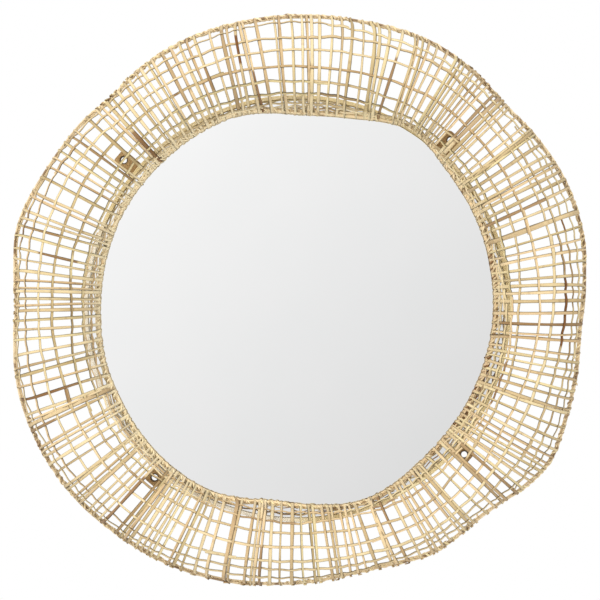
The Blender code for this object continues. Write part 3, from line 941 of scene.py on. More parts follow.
def share_seen(degrees, seen, drop=0.0):
    """Share at which the sheet, or a layer behind it, shows at a radius in the picture."""
    shares = np.linspace(0.02, 0.98, 97)
    result = np.empty(len(degrees))
    for i, (angle, radius) in enumerate(zip(degrees, seen)):
        point, along, around, outward = SHEET.frame(np.full(len(shares), angle), shares)
        point = point - outward * drop
        plain = np.hypot(point[:, 0], point[:, 2])
        shown = plain / SHEET.reach(point[:, 1])
        shown = np.maximum.accumulate(shown) + shares * 1e-6
        result[i] = np.interp(radius, shown, shares)
    return result


LAYOUT = {}


def layout():
    """The layout, worked out the first time that it is asked for."""
    if "cane" not in LAYOUT:
        LAYOUT["cane"] = Layout(settings()[0])
    return LAYOUT["cane"]


# How far a cane leaves the sheet as it weaves
WEAVE_LIFT = 0.00062
# From the end of the canes to the middle of each rim bundle
OUTER_MIDDLE = 0.0019
INNER_MIDDLE = 0.0
# A cane's turn round a rim: its rise, and its reach beyond the bundle's middle
HOOK_LIFT = 0.0027
HOOK_REACH = 0.0029
# The outer bundle lies further out where the arch bends by more than this at its end
OUTER_SHIFT = 0.0026
STEEP = 1.35
STEEP_SPAN = 0.5


def rim_shift(share, degrees):
    """How far outward the outer rim's rods are tied. It is most where the arch ends steeply."""
    steep = np.clip((SHEET.at(degrees)[..., SHEET.BEND] - STEEP) / STEEP_SPAN, 0, 1)
    return OUTER_SHIFT * steep if share > 0.5 else 0.0 * steep


def rim_hook(share_end, direction):
    """Share and lift of a cane that turns round a rim bundle and comes back behind it."""
    turn = np.linspace(0, 1, 9)
    middle = OUTER_MIDDLE if share_end > 0.5 else INNER_MIDDLE
    reach = HOOK_REACH * np.sin(math.pi * turn)
    lift = HOOK_LIFT * np.cos(math.pi * turn)
    return share_end + direction * (middle + reach) / STAKE_LENGTH, lift


class MIRROR_OT_canes(bpy.types.Operator):
    """Radial split canes, from one rim to the other, each turned round both rims"""

    bl_idname = "mirror.canes"
    bl_label = "Build radial canes"
    PIECES = 8
    # Share from the inner rim over which the canes are painted lighter, as painted light
    PAINTED_LIGHT_REACH = 0.22
    # Share at which a cane leaves the rim's hook for its weave, and points between the hooks
    BODY_START = 0.004
    EASE = 0.03
    BODY_POINTS = 50
    # Each tail of a cane has three points, lies free of the one before it and may stray by some degrees
    TAIL = np.array([1.0, 0.66, 0.33])
    TAIL_STEP = 0.0006
    TAIL_STRAY = 0.35
    # Width, as shares of it: its ripple, what the outer end loses and what the inner end gains
    WIDTH_RIPPLE = 0.10
    OUTER_LOSS = 0.18
    INNER_GAIN = 0.15

    def execute(self, context):
        cane = settings()[0]
        plan = layout()
        rng = random.Random(7)
        material = cane_material("radial_cane", cane)
        body = np.linspace(self.BODY_START, 1 - self.BODY_START, self.BODY_POINTS)
        hook_share, hook_lift = rim_hook(0.0, -1.0)
        far_share, far_turn = rim_hook(1.0, 1.0)
        spread = np.linspace(0.0, 1.0, 4)[1:]
        steps = self.TAIL_STEP * np.arange(3)
        stocks = [StripStock() for _ in range(self.PIECES)]
        for number in range(plan.count):
            tail_in = spread * rng.uniform(0.02, 0.06)
            tail_out = spread * rng.uniform(0.02, 0.07)
            phase = number + plan.hoop_count(plan.angle(number, body), body)
            lift = -WEAVE_LIFT * np.cos(math.pi * phase)
            ease = np.clip(np.minimum(body, 1 - body) / self.EASE, 0, 1)
            shift = float(rim_shift(1.0, plan.angle(number, 1.0)))
            way = -1.0 if shift > OUTER_SHIFT / 2 else 1.0
            far_lift = shift + way * far_turn
            end_lift = np.where(body > 0.5, far_lift[0], HOOK_LIFT)
            lift = lift * ease + end_lift * (1 - ease)
            share = np.concatenate([tail_in[::-1], hook_share[::-1], body, far_share, 1.0 - tail_out])
            lifts = np.concatenate([
                steps[::-1] - HOOK_LIFT, hook_lift[::-1], lift, far_lift, far_lift[-1] + way * steps,
            ])
            degrees = plan.angle(number, np.clip(share, 0, 1))
            degrees[:3] += rng.gauss(0, self.TAIL_STRAY) * self.TAIL
            degrees[-3:] += rng.gauss(0, self.TAIL_STRAY) * self.TAIL[::-1]
            point, along, around, outward = SHEET.frame(degrees, share)
            path = point + outward * lifts[:, None]
            step = unit(np.gradient(path, axis=0))
            side = square_to(step, around)
            turn = plan.twist[number] * np.sin(np.linspace(0, 1, len(share)) * math.pi * rng.uniform(1, 3))
            side = rotate(side, step, turn)
            face = np.cross(step, side)
            face *= np.sign(np.sum(face[len(face) // 2] * outward[len(face) // 2]))
            near_end = 4 * np.clip(np.abs(2 * share - 1) - 0.75, 0, 1)
            width = plan.width[number] * (
                1 + self.WIDTH_RIPPLE * np.sin(share * rng.uniform(8, 18) + rng.uniform(0, 6))
                + near_end * np.where(share > 0.5, -self.OUTER_LOSS, self.INNER_GAIN)
            )
            low, high, depth = plan.brown[number]
            brown = depth * ((share > low) & (share < high))
            # Painted light: the inner ends are lightened, less so toward the shaded side of the mirror
            inner_painted_light = 0.8 * np.clip(1.25 - share / self.PAINTED_LIGHT_REACH, 0, 1)
            inner_painted_light *= 0.6 - 0.4 * facing(plan.middle[number], SHADED_SIDE)
            brown = np.where(brown > 0, brown, -inner_painted_light)
            stocks[number * self.PIECES // plan.count].add(
                path, side, face, width, cane.thick * rng.uniform(0.8, 1.2), plan.tone[number], brown
            )
        for index, stock in enumerate(stocks):
            piece = stock.build("radial_canes_%d" % (index + 1), material, "cane_stake")
            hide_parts("collar_stakes")
        return {"FINISHED"}


# A woven length: degrees between its points, lift against that of the canes, fullness of its waves,
# degrees over which its ends lap, and how far they lie over the next
LENGTH_STEP = 0.22
LENGTH_LIFT = 1.5
LENGTH_WAVE = 0.8
LAP_DEGREES = 4.0
LAP_LIFT = 0.0003


def ends_ease(degrees, low, high, reach):
    """From 0 at both ends of a stretch of angles to 1 inside it."""
    return np.clip((degrees - low) / reach, 0, 1) * np.clip((high - degrees) / reach, 0, 1)


def weave_length(stock, rng, plan, low, high, share_of, start, cane, width, brown_of, drop=0.0):
    """One length of cane woven round the collar from angle low to high."""
    degrees = np.arange(low, high, LENGTH_STEP)
    share = share_of(degrees)
    lap = ends_ease(degrees, low, high, LAP_DEGREES)
    index = plan.index_at(degrees, float(np.mean(share)))
    wave = np.cos(math.pi * (index + start))
    lift = WEAVE_LIFT * LENGTH_LIFT * np.sign(wave) * np.abs(wave) ** LENGTH_WAVE
    point, along, around, outward = SHEET.frame(degrees, share)
    path = point + outward * (lift + LAP_LIFT * (1 - lap) - drop)[:, None]
    step = unit(np.gradient(path, axis=0))
    side = rotate(square_to(step, along), step, ripple(rng, degrees, (5, 9, 17), 0.22))
    face = np.cross(side, step)
    flip = np.sign(np.sum(face * outward, axis=1))[:, None]
    width = width * rng.uniform(0.85, 1.15) * (1 + ripple(rng, degrees, (7, 15), 0.10))
    stock.add(path, side, face * flip, width, cane.hoop_thick, rng.random(), brown_of(degrees))


def brown_stretch(number):
    """How brown a hoop is along its way, from the stretches named above."""

    def depth(degrees):
        at = np.mod(degrees, 360.0)
        result = np.zeros_like(at)
        for hoop, low, high, brown in BROWN_HOOPS:
            if hoop == number:
                result = np.maximum(result, brown * ends_ease(at, low, high, 0.6))
        return result

    return depth


class MIRROR_OT_hoops(bpy.types.Operator):
    """Seven woven hoops, each made of a few lengths of cane with lapped ends, and one short length"""

    bl_idname = "mirror.hoops"
    bl_label = "Build woven hoops"
    # Degrees over which a length's end moves beside the next, the shares that it moves, and its drift
    LAP = 5.0
    LAP_SIDE = 0.009
    DRIFT = 0.004

    def execute(self, context):
        cane = settings()[0]
        plan = layout()
        material = cane_material("hoop_cane", cane)
        for number in range(len(HOOP_RADII_PX)):
            rng = random.Random(100 + number)
            stock = StripStock()
            lengths = rng.choice((3, 4))
            start = rng.uniform(0, 360)
            seed = rng.randrange(1 << 30)
            for length in range(lengths):
                low = start + 360.0 * length / lengths
                high = start + 360.0 * (length + 1) / lengths + rng.uniform(4.0, 7.0)

                def share_of(degrees, low=low, high=high, side=1 if length % 2 else -1):
                    lap = ends_ease(degrees, low, high, self.LAP)
                    drift = ripple(random.Random(seed), degrees, (19, 31, 43), self.DRIFT)
                    return plan.hoop_share(number, degrees) + drift + self.LAP_SIDE * (1 - lap) * side

                weave_length(
                    stock, rng, plan, low, high, share_of, number + 1, cane, cane.hoop_width,
                    brown_stretch(number),
                )
            if number == len(HOOP_RADII_PX) - 1:
                self.short_hoop(stock, rng, plan, cane)
            piece = stock.build("cane_hoop_%d" % (number + 1), material, "cane_hoop")
            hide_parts("woven_hoop_%d" % (number + 1))
        return {"FINISHED"}

    def short_hoop(self, stock, rng, plan, cane):
        """The short length on the right."""
        angles = [k[0] for k in SHORT_HOOP_PX]
        radii = [k[1] for k in SHORT_HOOP_PX]
        whole = np.arange(angles[0], angles[-1] + 1.0)
        share = np.clip(share_seen(whole, np.interp(whole, angles, radii) * METRES_PER_PIXEL), 0.5, 0.93)
        share = spread_nine(share, "edge")
        weave_length(
            stock, rng, plan, whole[0], whole[-1], lambda d: np.interp(d, whole, share), 1, cane,
            cane.hoop_width * 0.9, brown_stretch(7),
        )


class MIRROR_OT_closing_rows(bpy.types.Operator):
    """Short rows packed between the inner rim and the first hoop"""

    bl_idname = "mirror.closing_rows"
    bl_label = "Build closing rows"
    # Place between the rim at 0 and the first hoop at 1, how often it is there, and width
    ROWS = ((0.17, 1.2, 0.8), (0.45, 1.6, 1.0), (0.66, 1.0, 0.75), (0.85, 0.7, 0.75))
    CLOSE_ENOUGH = 0.25

    def execute(self, context):
        cane = settings()[0]
        plan = layout()
        rng = random.Random(61)
        # This stock paints shade on one side of the mirror and light on the other
        stock = StripStock(RIM_SIDE_SHADE)
        for row, (part, often, wide) in enumerate(self.ROWS):
            angle = rng.uniform(0, 20)
            end = angle + 360.0
            while angle < end:
                reach = rng.uniform(6.0, 14.0)
                close = smooth_round(CLOSING, angle + np.array([0.0, reach / 2, reach]))
                if close.min() > self.CLOSE_ENOUGH and rng.random() < close[1] * often:
                    seed = rng.randrange(1 << 30)

                    def share_of(degrees, part=part, seed=seed):
                        drift = ripple(random.Random(seed), degrees, (13, 29, 47), 0.005)
                        return plan.hoop_share(0, degrees) * part + drift

                    brown = rng.choice((0.0, 0.0, 0.1, 0.4))
                    weave_length(
                        stock, rng, plan, angle, angle + reach, share_of, row + 1, cane,
                        cane.hoop_width * wide, lambda d, b=brown: np.full(len(d), b),
                    )
                angle += reach + rng.uniform(0.0, 3.0)
        # Listed rows; the brown ones are painted shade in the gaps by the inner rim
        for row, (brown, wide, behind, knots) in enumerate(CLOSING_ROWS_PX):
            spots = [k[0] for k in knots]
            whole = np.arange(spots[0], spots[-1] + 0.5, 0.5)
            seen = np.interp(whole, spots, [k[1] for k in knots]) * METRES_PER_PIXEL
            share = share_seen(whole, seen, BEHIND * behind)
            share = spread_nine(share, "edge")
            waves = random.Random(row)
            share = share + ripple(waves, whole, (19, 31, 53), 0.003)
            shade = brown * np.clip(0.8 + ripple(waves, whole, (41, 67, 89), 0.4), 0, 1)
            weave_length(
                stock, rng, plan, whole[0], whole[-1], lambda d: np.interp(d, whole, share), row + 1, cane,
                cane.hoop_width * wide, lambda d: np.interp(d, whole, shade), BEHIND * behind,
            )
        piece = stock.build("closing_rows", cane_material("closing_cane", cane, True), "cane_stake")
        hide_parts("collar_stakes")
        return {"FINISHED"}


def rim_axis(share, direction, degrees):
    """Middle line of a rim bundle, with its own frame."""
    point, along, around, outward = SHEET.frame(degrees, np.full_like(degrees, share))
    reach = OUTER_MIDDLE if share > 0.5 else INNER_MIDDLE
    middle = point + along * (direction * reach) + outward * rim_shift(share, degrees)[:, None]
    return middle, along, around, outward


def dark_patches(rng, degrees, depth):
    """Short brown stretches along a rod of a rim."""
    return depth * np.clip(ripple(rng, degrees, (31, 47, 68, 97), 2.2) - 1.2, 0, 1)


def named_patches(rng, degrees, depth):
    """The brown stretches that are named above, for a rod of the outer rim."""
    shade = dark_patches(rng, degrees, 0.5 * depth)
    for low, high in BROWN_RIM:
        ease = np.clip((degrees - low) / 0.3 + 1, 0, 1) * np.clip((high - degrees) / 0.3 + 1, 0, 1)
        shade = np.maximum(shade, depth * ease)
    return shade


def add_rods(stock, rng, share, direction, rods, cane, patches=dark_patches):
    """Rods of a rim bundle, one for each (turn about the bundle, spread, how brown)."""
    degrees = np.arange(0, 360, 0.3)
    middle, along, around, outward = rim_axis(share, direction, degrees)
    for turn_at, spread, brown in rods:
        turn = turn_at + ripple(rng, degrees, (2, 5, 9), 0.5)
        wide = spread * (1 + ripple(rng, degrees, (11, 17, 29), 0.35))
        path = middle + along * (np.cos(turn) * wide)[:, None] + outward * (np.sin(turn) * wide)[:, None]
        step = unit(np.roll(path, -1, axis=0) - np.roll(path, 1, axis=0))
        side = square_to(step, along)
        face = np.cross(step, side)
        size = cane.rod * rng.uniform(0.85, 1.15) * (1 + ripple(rng, degrees, (9, 21), 0.10))
        shade = patches(rng, degrees, brown)
        stock.add(path, side, face, size, size, rng.random(), shade, closed=True, section=StripStock.ROUND)


# Points along a lashing in each degree round the mirror
LASHING_STEPS = 16


def add_lashing(stock, rng, share, direction, reach, pitch, bound, width):
    """Thin strips wound round a rim. reach is half the winding's size along the cane and through it."""
    degrees = 0.0
    while degrees < 360.0:
        stretch = rng.uniform(5.0, 20.0)
        if rng.random() < bound:
            stop = min(360.0, degrees + stretch)
            count = max(16, int((stop - degrees) * LASHING_STEPS))
            line = np.linspace(degrees, stop, count)
            middle, along, around, outward = rim_axis(share, direction, line)
            arc = np.linalg.norm(middle[1] - middle[0]) * np.arange(count)
            turn = 2 * math.pi * arc / (pitch * rng.uniform(0.8, 1.25)) + rng.uniform(0, 6)
            turn = turn + 0.9 * np.sin(turn * 0.37 + rng.uniform(0, 6))
            size = rng.uniform(0.88, 1.08) * (1 + 0.08 * np.sin(turn * 0.23 + rng.uniform(0, 6)))
            path = (
                middle
                + along * (np.cos(turn) * reach[0] * size)[:, None]
                + outward * (np.sin(turn) * reach[1] * size)[:, None]
            )
            ring = unit(
                along * (np.cos(turn) / reach[0])[:, None] + outward * (np.sin(turn) / reach[1])[:, None]
            )
            step = unit(np.gradient(path, axis=0))
            side = unit(np.cross(step, ring))
            brown = 0.7 if rng.random() < 0.10 else 0.12 * rng.random()
            stock.add(path, side, ring, width * rng.uniform(0.7, 1.25), 0.0008, rng.random(), brown)
        degrees += stretch


def add_ends(stock, rng, share, direction, count, reach, place=None):
    """Cut ends of strips that stand out of a rim, anywhere round it or at one place."""
    for _ in range(count):
        angle = rng.uniform(0, 360) if place is None else place
        size = rng.uniform(*reach)
        line = np.linspace(0, 1, 4)
        drift = rng.gauss(0, 0.5)
        shares = share + direction * (line * size - 0.004) / STAKE_LENGTH
        degrees = angle + drift * line
        point, along, around, outward = SHEET.frame(degrees, shares)
        raise_by = rng.uniform(-0.003, 0.003)
        path = point + outward * (raise_by + line * rng.uniform(-0.001, 0.002))[:, None]
        step = unit(np.gradient(path, axis=0))
        side = square_to(step, around)
        stock.add(
            path, side, np.cross(step, side), rng.uniform(0.0018, 0.003), 0.001, rng.random(),
            np.clip(line * 1.3 - 0.4, 0, 1) * rng.uniform(0.3, 1.0),
        )


class MIRROR_OT_outer_rim(bpy.types.Operator):
    """Outer rim: two thin rods lashed together, with cut ends"""

    bl_idname = "mirror.outer_rim"
    bl_label = "Build outer rim"
    # Each rod: turn about the bundle, distance from its middle, how brown
    RODS = ((0.3, 0.0016, 0.6), (2.4, 0.0015, 0.75), (4.5, 0.0016, 0.2))
    # Each lashing: half its size along the cane and through it, pitch, how much of the rim it binds, width
    LASHINGS = (((0.0031, 0.0030), 0.013, 0.6, 0.0026), ((0.0033, 0.0032), 0.024, 0.4, 0.0022))

    def execute(self, context):
        cane = settings()[0]
        rng = random.Random(21)
        stock = StripStock()
        add_rods(stock, rng, 1.0, 1.0, self.RODS, cane, named_patches)
        for lashing in self.LASHINGS:
            add_lashing(stock, rng, 1.0, 1.0, *lashing)
        add_ends(stock, rng, 1.0, 1.0, 120, (0.005, 0.0075))
        piece = stock.build("outer_rim_bundle", cane_material("rim_cane", cane, True), "cane_stake")
        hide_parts("collar_stakes")
        return {"FINISHED"}


class MIRROR_OT_inner_rim(bpy.types.Operator):
    """Inner rim: three rods, dense lashings and strip ends, just in front of the glass"""

    bl_idname = "mirror.inner_rim"
    bl_label = "Build inner rim"
    RODS = ((0.4, 0.0016, 0.7), (2.2, 0.0016, 0.8), (4.6, 0.0018, 1.0))
    # Each lashing: the share that it is wound about, then as for the outer rim
    LASHINGS = ((0.0, (0.0031, 0.0030), 0.012, 0.9, 0.0024), (0.012, (0.0052, 0.0030), 0.015, 0.8, 0.0024))
    # Angle and length of the ends that stick out furthest over the glass
    TWIGS = ((145.1, 0.0075), (158.4, 0.0100), (158.8, 0.0090), (219.0, 0.0070))

    def execute(self, context):
        cane = settings()[0]
        rng = random.Random(22)
        # This stock paints shade on one side of the mirror and light on the other
        stock = StripStock(RIM_SIDE_SHADE)
        add_rods(stock, rng, 0.0, -1.0, self.RODS, cane)
        for share, *lashing in self.LASHINGS:
            add_lashing(stock, rng, share, -1.0, *lashing)
        add_ends(stock, rng, 0.0, -1.0, 90, (0.003, 0.0065))
        for angle, size in self.TWIGS:
            add_ends(stock, rng, 0.0, -1.0, 1, (size, size), angle)
        piece = stock.build("inner_rim_bundle", cane_material("lashing_cane", cane, True), "cane_stake")
        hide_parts("collar_stakes")
        return {"FINISHED"}


# Board, glass and ears


def turned_piece(name, profile, material, segments=192):
    """Solid of revolution about the Y axis from (radius, y) points, axis to axis."""
    turn = 2 * math.pi * np.arange(segments) / segments
    points = [(0.0, profile[0][1], 0.0)]
    for radius, y in profile[1:-1]:
        points += [(radius * math.sin(t), y, radius * math.cos(t)) for t in turn]
    points.append((0.0, profile[-1][1], 0.0))
    rings = len(profile) - 2
    faces = []
    for i in range(segments):
        j = (i + 1) % segments
        faces.append((0, 1 + i, 1 + j))
        for ring in range(rings - 1):
            a, b = 1 + ring * segments, 1 + (ring + 1) * segments
            faces.append((a + i, b + i, b + j, a + j))
        top = 1 + (rings - 1) * segments
        faces.append((top + i, len(points) - 1, top + j))
    mesh = bpy.data.meshes.new(name)
    mesh.from_pydata(points, [], faces)
    face_outward(mesh)
    finish_mesh(mesh, 25, material)
    return link_piece(name, mesh)


class MIRROR_OT_board(bpy.types.Operator):
    """Round stained board with a shallow recess for the glass and housings for the ears"""

    bl_idname = "mirror.board"
    bl_label = "Build backing board"
    # Angle toward which the board is painted paler, as painted light
    LIT_ANGLE = 236.0
    # How far its corners are cut back: behind, in front, beside that, and at the lip of the recess
    BACK_CORNER = 0.0006
    FRONT_CORNER = 0.0004
    FRONT_EDGE = 0.0012
    LIP_EDGE = 0.0005

    def execute(self, context):
        board = settings()[1]
        material = wood_material("stained_fibreboard", board.light, board.dark, lit_toward=self.LIT_ANGLE)
        inner = GLASS_R + GLASS_SIDE_GAP
        front = -BOARD_DEPTH
        soft = self.FRONT_CORNER
        profile = (
            (0.0, 0.0), (BOARD_R - BOARD_CHAMFER, 0.0), (BOARD_R - self.BACK_CORNER, -self.BACK_CORNER),
            (BOARD_R, -BOARD_CHAMFER), (BOARD_R, front + self.FRONT_EDGE),
            (BOARD_R - soft, front + soft), (BOARD_R - self.FRONT_EDGE, front),
            (inner + self.LIP_EDGE, front), (inner, front + soft), (inner, -BOARD_BACK),
            (0.0, -BOARD_BACK),
        )
        piece = turned_piece("board_dressed", profile, material)
        for number, (degrees, stand) in enumerate(EARS):
            cutter = ear_block("housing_cutter", degrees, stand, FIT_GAP)
            cut = piece.modifiers.new("housing_%d" % (number + 1), "BOOLEAN")
            cut.operation = "DIFFERENCE"
            cut.solver = "EXACT"
            cut.object = cutter
            context.view_layer.objects.active = piece
            bpy.ops.object.modifier_apply(modifier=cut.name)
            bpy.data.objects.remove(cutter)
        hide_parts("backing_board")
        return {"FINISHED"}


def ear_frame(degrees):
    """Directions away from the middle and to the side, at an angle."""
    turn = math.radians(degrees)
    return np.array([math.sin(turn), 0.0, math.cos(turn)]), np.array([math.cos(turn), 0.0, -math.sin(turn)])


# How far a cutter reaches beyond what it cuts
CUTTER_SPARE = 0.01


def ear_block(name, degrees, stand, gap):
    """Box that cuts an ear's housing out of the board."""
    out, side = ear_frame(degrees)
    half = EAR_WIDTH / 2 + gap
    low = BOARD_R + stand - EAR_LENGTH - gap
    high = BOARD_R + CUTTER_SPARE
    corners = [
        out * r + side * s + np.array([0.0, y, 0.0])
        for y in (CUTTER_SPARE, -EAR_THICK - gap)
        for s, r in ((-half, low), (half, low), (half, high), (-half, high))
    ]
    mesh = bpy.data.meshes.new(name)
    faces = [(0, 1, 2, 3), (4, 7, 6, 5), (0, 4, 5, 1), (1, 5, 6, 2), (2, 6, 7, 3), (3, 7, 4, 0)]
    mesh.from_pydata([tuple(c) for c in corners], [], faces)
    face_outward(mesh)
    block = bpy.data.objects.new(name, mesh)
    bpy.context.scene.collection.objects.link(block)
    return block


class MIRROR_OT_pane(bpy.types.Operator):
    """Silvered glass with a fine ground arris"""

    bl_idname = "mirror.pane"
    bl_label = "Build mirror glass"

    def execute(self, context):
        board = settings()[1]
        material = glass_material("silvered_pane", board.silver)
        back = -(BOARD_DEPTH - GLASS_THICK)
        front = -BOARD_DEPTH
        soft = 0.0004
        profile = (
            (0.0, back), (GLASS_R - soft, back), (GLASS_R, back - soft),
            (GLASS_R, front + GLASS_ARRIS), (GLASS_R - GLASS_ARRIS, front), (0.0, front),
        )
        piece = turned_piece("glass_dressed", profile, material)
        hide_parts("mirror_glass")
        return {"FINISHED"}


class MIRROR_OT_ears(bpy.types.Operator):
    """Four flat ply ears behind the weave, each with a round hole for a screw"""

    bl_idname = "mirror.ears"
    bl_label = "Build fixing ears"
    # Width of the hole in front and behind, against its named size
    SINK_FRONT = 1.15
    SINK_BACK = 0.78
    # Points this close to the hole's middle, against its named size, belong to it
    HOLE_REACH = 0.6
    HOLE_SIDES = 32
    # Degrees between the points of a round corner
    CORNER_STEP = 18
    # Edges that turn by more than this, in radians, are eased by the arris
    SHARP = 1.2
    ARRIS = 0.0004

    def countersink(self, work):
        """The screw hole widens to the front, where the screw's head sits."""
        for vertex in work.verts:
            x, y, z = vertex.co
            reach = math.hypot(x, z + EAR_HOLE_IN)
            if reach < EAR_HOLE_D * self.HOLE_REACH:
                size = self.SINK_BACK + (self.SINK_FRONT - self.SINK_BACK) * (-y / EAR_THICK)
                vertex.co = (x * size, y, (z + EAR_HOLE_IN) * size - EAR_HOLE_IN)

    def execute(self, context):
        board = settings()[1]
        holes = [tuple(ear_frame(degrees)[0] * (BOARD_R + stand - EAR_HOLE_IN)) for degrees, stand in EARS]
        material = wood_material("ear_ply", board.ear_light, board.ear_dark, holes)
        for number, (degrees, stand) in enumerate(EARS):
            out, side = ear_frame(degrees)
            half = EAR_WIDTH / 2
            corner = EAR_CORNER
            outline = [(-half, -EAR_LENGTH), (half, -EAR_LENGTH)]
            for start, centre in ((0, half - corner), (90, -half + corner)):
                for step in range(0, 91, self.CORNER_STEP):
                    turn = math.radians(start + step)
                    outline.append((centre + corner * math.cos(turn), corner * math.sin(turn) - corner))
            hole = []
            for k in range(self.HOLE_SIDES):
                turn = 2 * math.pi * k / self.HOLE_SIDES
                hole.append((EAR_HOLE_D / 2 * math.cos(turn), EAR_HOLE_D / 2 * math.sin(turn) - EAR_HOLE_IN))
            work = bmesh.new()
            edges = []
            for loop in (outline, hole):
                ring = [work.verts.new((x, 0.0, z)) for x, z in loop]
                edges += [work.edges.new((ring[i - 1], ring[i])) for i in range(len(ring))]
            filled = bmesh.ops.triangle_fill(work, edges=edges, use_beauty=True)
            flat = [f for f in filled["geom"] if isinstance(f, bmesh.types.BMFace)]
            grown = bmesh.ops.extrude_face_region(work, geom=flat, use_keep_orig=True)
            for vertex in [v for v in grown["geom"] if isinstance(v, bmesh.types.BMVert)]:
                vertex.co.y = -EAR_THICK
            bmesh.ops.recalc_face_normals(work, faces=work.faces)
            rim = [e for e in work.edges if len(e.link_faces) == 2 and e.calc_face_angle(0) > self.SHARP]
            bmesh.ops.bevel(
                work, geom=rim, offset=self.ARRIS, segments=2, affect="EDGES", clamp_overlap=True
            )
            self.countersink(work)
            for vertex in work.verts:
                across, y, reach = vertex.co
                vertex.co = out * (BOARD_R + stand + reach) + side * across + np.array([0.0, y, 0.0])
            bmesh.ops.recalc_face_normals(work, faces=work.faces)
            mesh = bpy.data.meshes.new("ear_dressed_%d" % (number + 1))
            work.to_mesh(mesh)
            work.free()
            finish_mesh(mesh, 35, material)
            piece = link_piece(mesh.name, mesh)
            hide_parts("fixing_ear_%d" % (number + 1))
        return {"FINISHED"}


# Stage


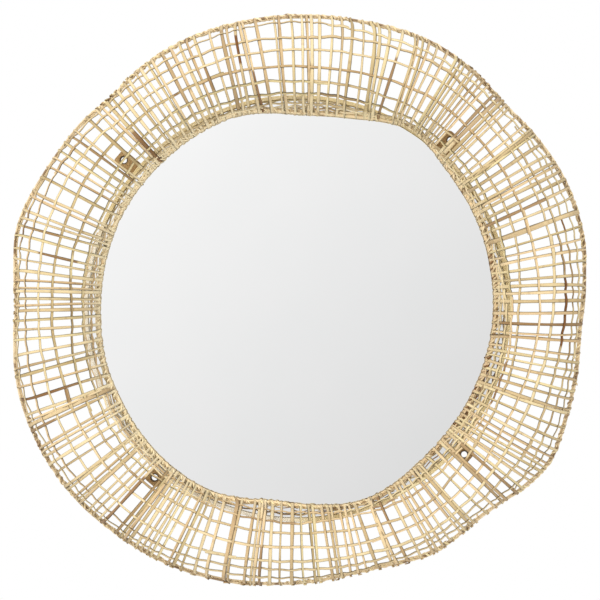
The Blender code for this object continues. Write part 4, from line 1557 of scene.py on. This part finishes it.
class MIRROR_OT_stage(bpy.types.Operator):
    """Pale floor, white surround, soft front light, the card that the glass reflects, and the camera"""

    bl_idname = "mirror.stage"
    bl_label = "Set the stage"
    FLOOR_Z = -1.3
    FLOOR_R = 3.0
    FLOOR_SIDES = 64
    CARD_HALF = 1.5
    # Tone of the glass in the picture, upper left and lower right, and how much the silvering reflects
    GLASS_SEEN = (0.925, 0.72)
    SILVER = 0.95
    # The card fades over this distance each way from its middle, measured along the diagonal
    FADE_REACH = 0.7
    DIAGONAL = 0.7071
    # Strength of the surround from below and from above
    BELOW = 0.80
    ABOVE = 1.15
    # Each lamp: name, place, size, and power as a share of the key light's
    LAMPS = (
        ("key_light", (-1.9, -2.6, 2.2), 1.6, 1.0),
        ("fill_light", (2.4, -2.8, 0.3), 2.0, 0.25),
    )
    SENSOR = 36.0

    def execute(self, context):
        stage = settings()[2]
        scene = context.scene
        scene.view_settings.view_transform = "Standard"
        scene.view_settings.look = "None"
        self.floor()
        self.surround(scene, stage)
        self.card(stage)
        self.lamps(stage)
        self.camera(scene, stage)
        return {"FINISHED"}

    def floor(self):
        """A round pale floor well below the mirror."""
        mesh = bpy.data.meshes.new("studio_floor")
        ring = []
        for k in range(self.FLOOR_SIDES):
            turn = 2 * math.pi * k / self.FLOOR_SIDES
            ring.append((self.FLOOR_R * math.cos(turn), self.FLOOR_R * math.sin(turn), self.FLOOR_Z))
        mesh.from_pydata(ring, [], [tuple(range(self.FLOOR_SIDES))])
        material, w, shader = base_material("pale_floor")
        shader.inputs["Base Color"].default_value = (0.86, 0.86, 0.85, 1.0)
        shader.inputs["Roughness"].default_value = 0.7
        mesh.materials.append(material)
        floor = bpy.data.objects.new("studio_floor", mesh)
        bpy.context.scene.collection.objects.link(floor)
        floor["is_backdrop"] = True

    def surround(self, scene, stage):
        """White to the camera, and a little brighter from above as a light."""
        world = bpy.data.worlds.new("studio_world")
        scene.world = world
        world.use_nodes = True
        tree = world.node_tree
        tree.nodes.clear()
        w = Wiring(tree)
        seen = w.put("ShaderNodeLightPath").outputs["Is Camera Ray"]
        direction = w.put("ShaderNodeTexCoord").outputs["Generated"]
        parts = w.put("ShaderNodeSeparateXYZ", {"Vector": direction})
        height = w.span(parts.outputs["Z"], -1.0, 1.0, self.BELOW, self.ABOVE)
        level = w.math("MULTIPLY", height, stage.sky)
        strength = w.math("ADD", w.math("MULTIPLY", seen, w.math("SUBTRACT", 1.0, level)), level)
        light = w.put("ShaderNodeBackground", {"Color": WHITE, "Strength": strength})
        end = w.put("ShaderNodeOutputWorld")
        tree.links.new(light.outputs[0], end.inputs["Surface"])

    def card(self, stage):
        """A soft grey card behind the camera. It fades from upper left to lower right."""
        far = -(stage.distance + 1.0)
        size = self.CARD_HALF
        mesh = bpy.data.meshes.new("grey_card")
        corners = [(-size, far, -size), (size, far, -size), (size, far, size), (-size, far, size)]
        mesh.from_pydata(corners, [], [(0, 1, 2, 3)])
        material = bpy.data.materials.new("card_glow")
        material.use_nodes = True
        tree = material.node_tree
        tree.nodes.clear()
        w = Wiring(tree)
        place = w.put("ShaderNodeSeparateXYZ", {"Vector": w.put("ShaderNodeTexCoord").outputs["Object"]})
        down = w.math("SUBTRACT", place.outputs["X"], place.outputs["Z"])
        slant = w.math("MULTIPLY", down, self.DIAGONAL)
        tones = (seen / self.SILVER for seen in self.GLASS_SEEN)
        tone = w.span(slant, -self.FADE_REACH, self.FADE_REACH, *tones)
        glow = w.put("ShaderNodeEmission", {"Color": WHITE, "Strength": tone})
        end = w.put("ShaderNodeOutputMaterial")
        tree.links.new(glow.outputs[0], end.inputs["Surface"])
        mesh.materials.append(material)
        card = bpy.data.objects.new("grey_card", mesh)
        bpy.context.scene.collection.objects.link(card)
        card.visible_camera = False
        card.visible_shadow = False
        card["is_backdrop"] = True

    def lamps(self, stage):
        """Soft lamps in front, aimed at the mirror."""
        for name, place, size, power in self.LAMPS:
            lamp = bpy.data.lights.new(name, "AREA")
            lamp.size = size
            lamp.energy = stage.key * power
            thing = bpy.data.objects.new(name, lamp)
            thing.location = place
            away = np.array(place) / np.linalg.norm(place)
            thing.rotation_euler = vector_to_euler(away)
            thing.visible_camera = False
            thing.visible_glossy = False
            bpy.context.scene.collection.objects.link(thing)

    def camera(self, scene, stage):
        """The photograph's view, straight on, with the mirror's middle where it is in the picture."""
        data = bpy.data.cameras.new("photo_camera")
        data.type = "PERSP"
        data.sensor_width = self.SENSOR
        data.lens = self.SENSOR * stage.distance / (PICTURE_PX * stage.metres_per_pixel)
        data.clip_end = 60.0
        thing = bpy.data.objects.new("photo_camera", data)
        thing.location = (
            (PICTURE_PX / 2 - CENTRE_PX[0]) * stage.metres_per_pixel,
            CAMERA_PLANE - stage.distance,
            -(PICTURE_PX / 2 - CENTRE_PX[1]) * stage.metres_per_pixel,
        )
        thing.rotation_euler = (math.pi / 2, 0.0, 0.0)
        scene.collection.objects.link(thing)
        scene.camera = thing


def vector_to_euler(away):
    """Turn for a lamp, whose light leaves along its own -Z, so that it shines against away."""
    flat = math.hypot(away[0], away[1])
    return (math.atan2(flat, away[2]), 0.0, math.atan2(away[0], -away[1]))


class MIRROR_PT_panel(bpy.types.Panel):
    """Lists the sizes and colours of the mirror, and the steps that build it"""

    bl_idname = "MIRROR_PT_panel"
    bl_label = "Woven cane mirror"
    bl_space_type = "VIEW_3D"
    bl_region_type = "UI"
    bl_category = "Mirror"

    def draw(self, context):
        column = self.layout.column()
        for group in settings():
            for name in group.__annotations__:
                column.prop(group, name)
        for step in STEPS:
            column.operator(step.bl_idname)


STEPS = (
    MIRROR_OT_board,
    MIRROR_OT_pane,
    MIRROR_OT_ears,
    MIRROR_OT_canes,
    MIRROR_OT_hoops,
    MIRROR_OT_closing_rows,
    MIRROR_OT_outer_rim,
    MIRROR_OT_inner_rim,
    MIRROR_OT_stage,
)
CLASSES = (CaneSettings, BoardSettings, StageSettings) + STEPS + (MIRROR_PT_panel,)


def register():
    for item in CLASSES:
        bpy.utils.register_class(item)
    bpy.types.Scene.mirror_cane = bpy.props.PointerProperty(type=CaneSettings)
    bpy.types.Scene.mirror_board = bpy.props.PointerProperty(type=BoardSettings)
    bpy.types.Scene.mirror_stage = bpy.props.PointerProperty(type=StageSettings)


def unregister():
    del bpy.types.Scene.mirror_stage
    del bpy.types.Scene.mirror_board
    del bpy.types.Scene.mirror_cane
    for item in reversed(CLASSES):
        bpy.utils.unregister_class(item)


def main():
    register()
    for step in STEPS:
        group, name = step.bl_idname.split(".")
        result = getattr(getattr(bpy.ops, group), name)()
        if result != {"FINISHED"}:
            raise RuntimeError(step.bl_idname + " did not finish")


if __name__ == "__main__":
    main()
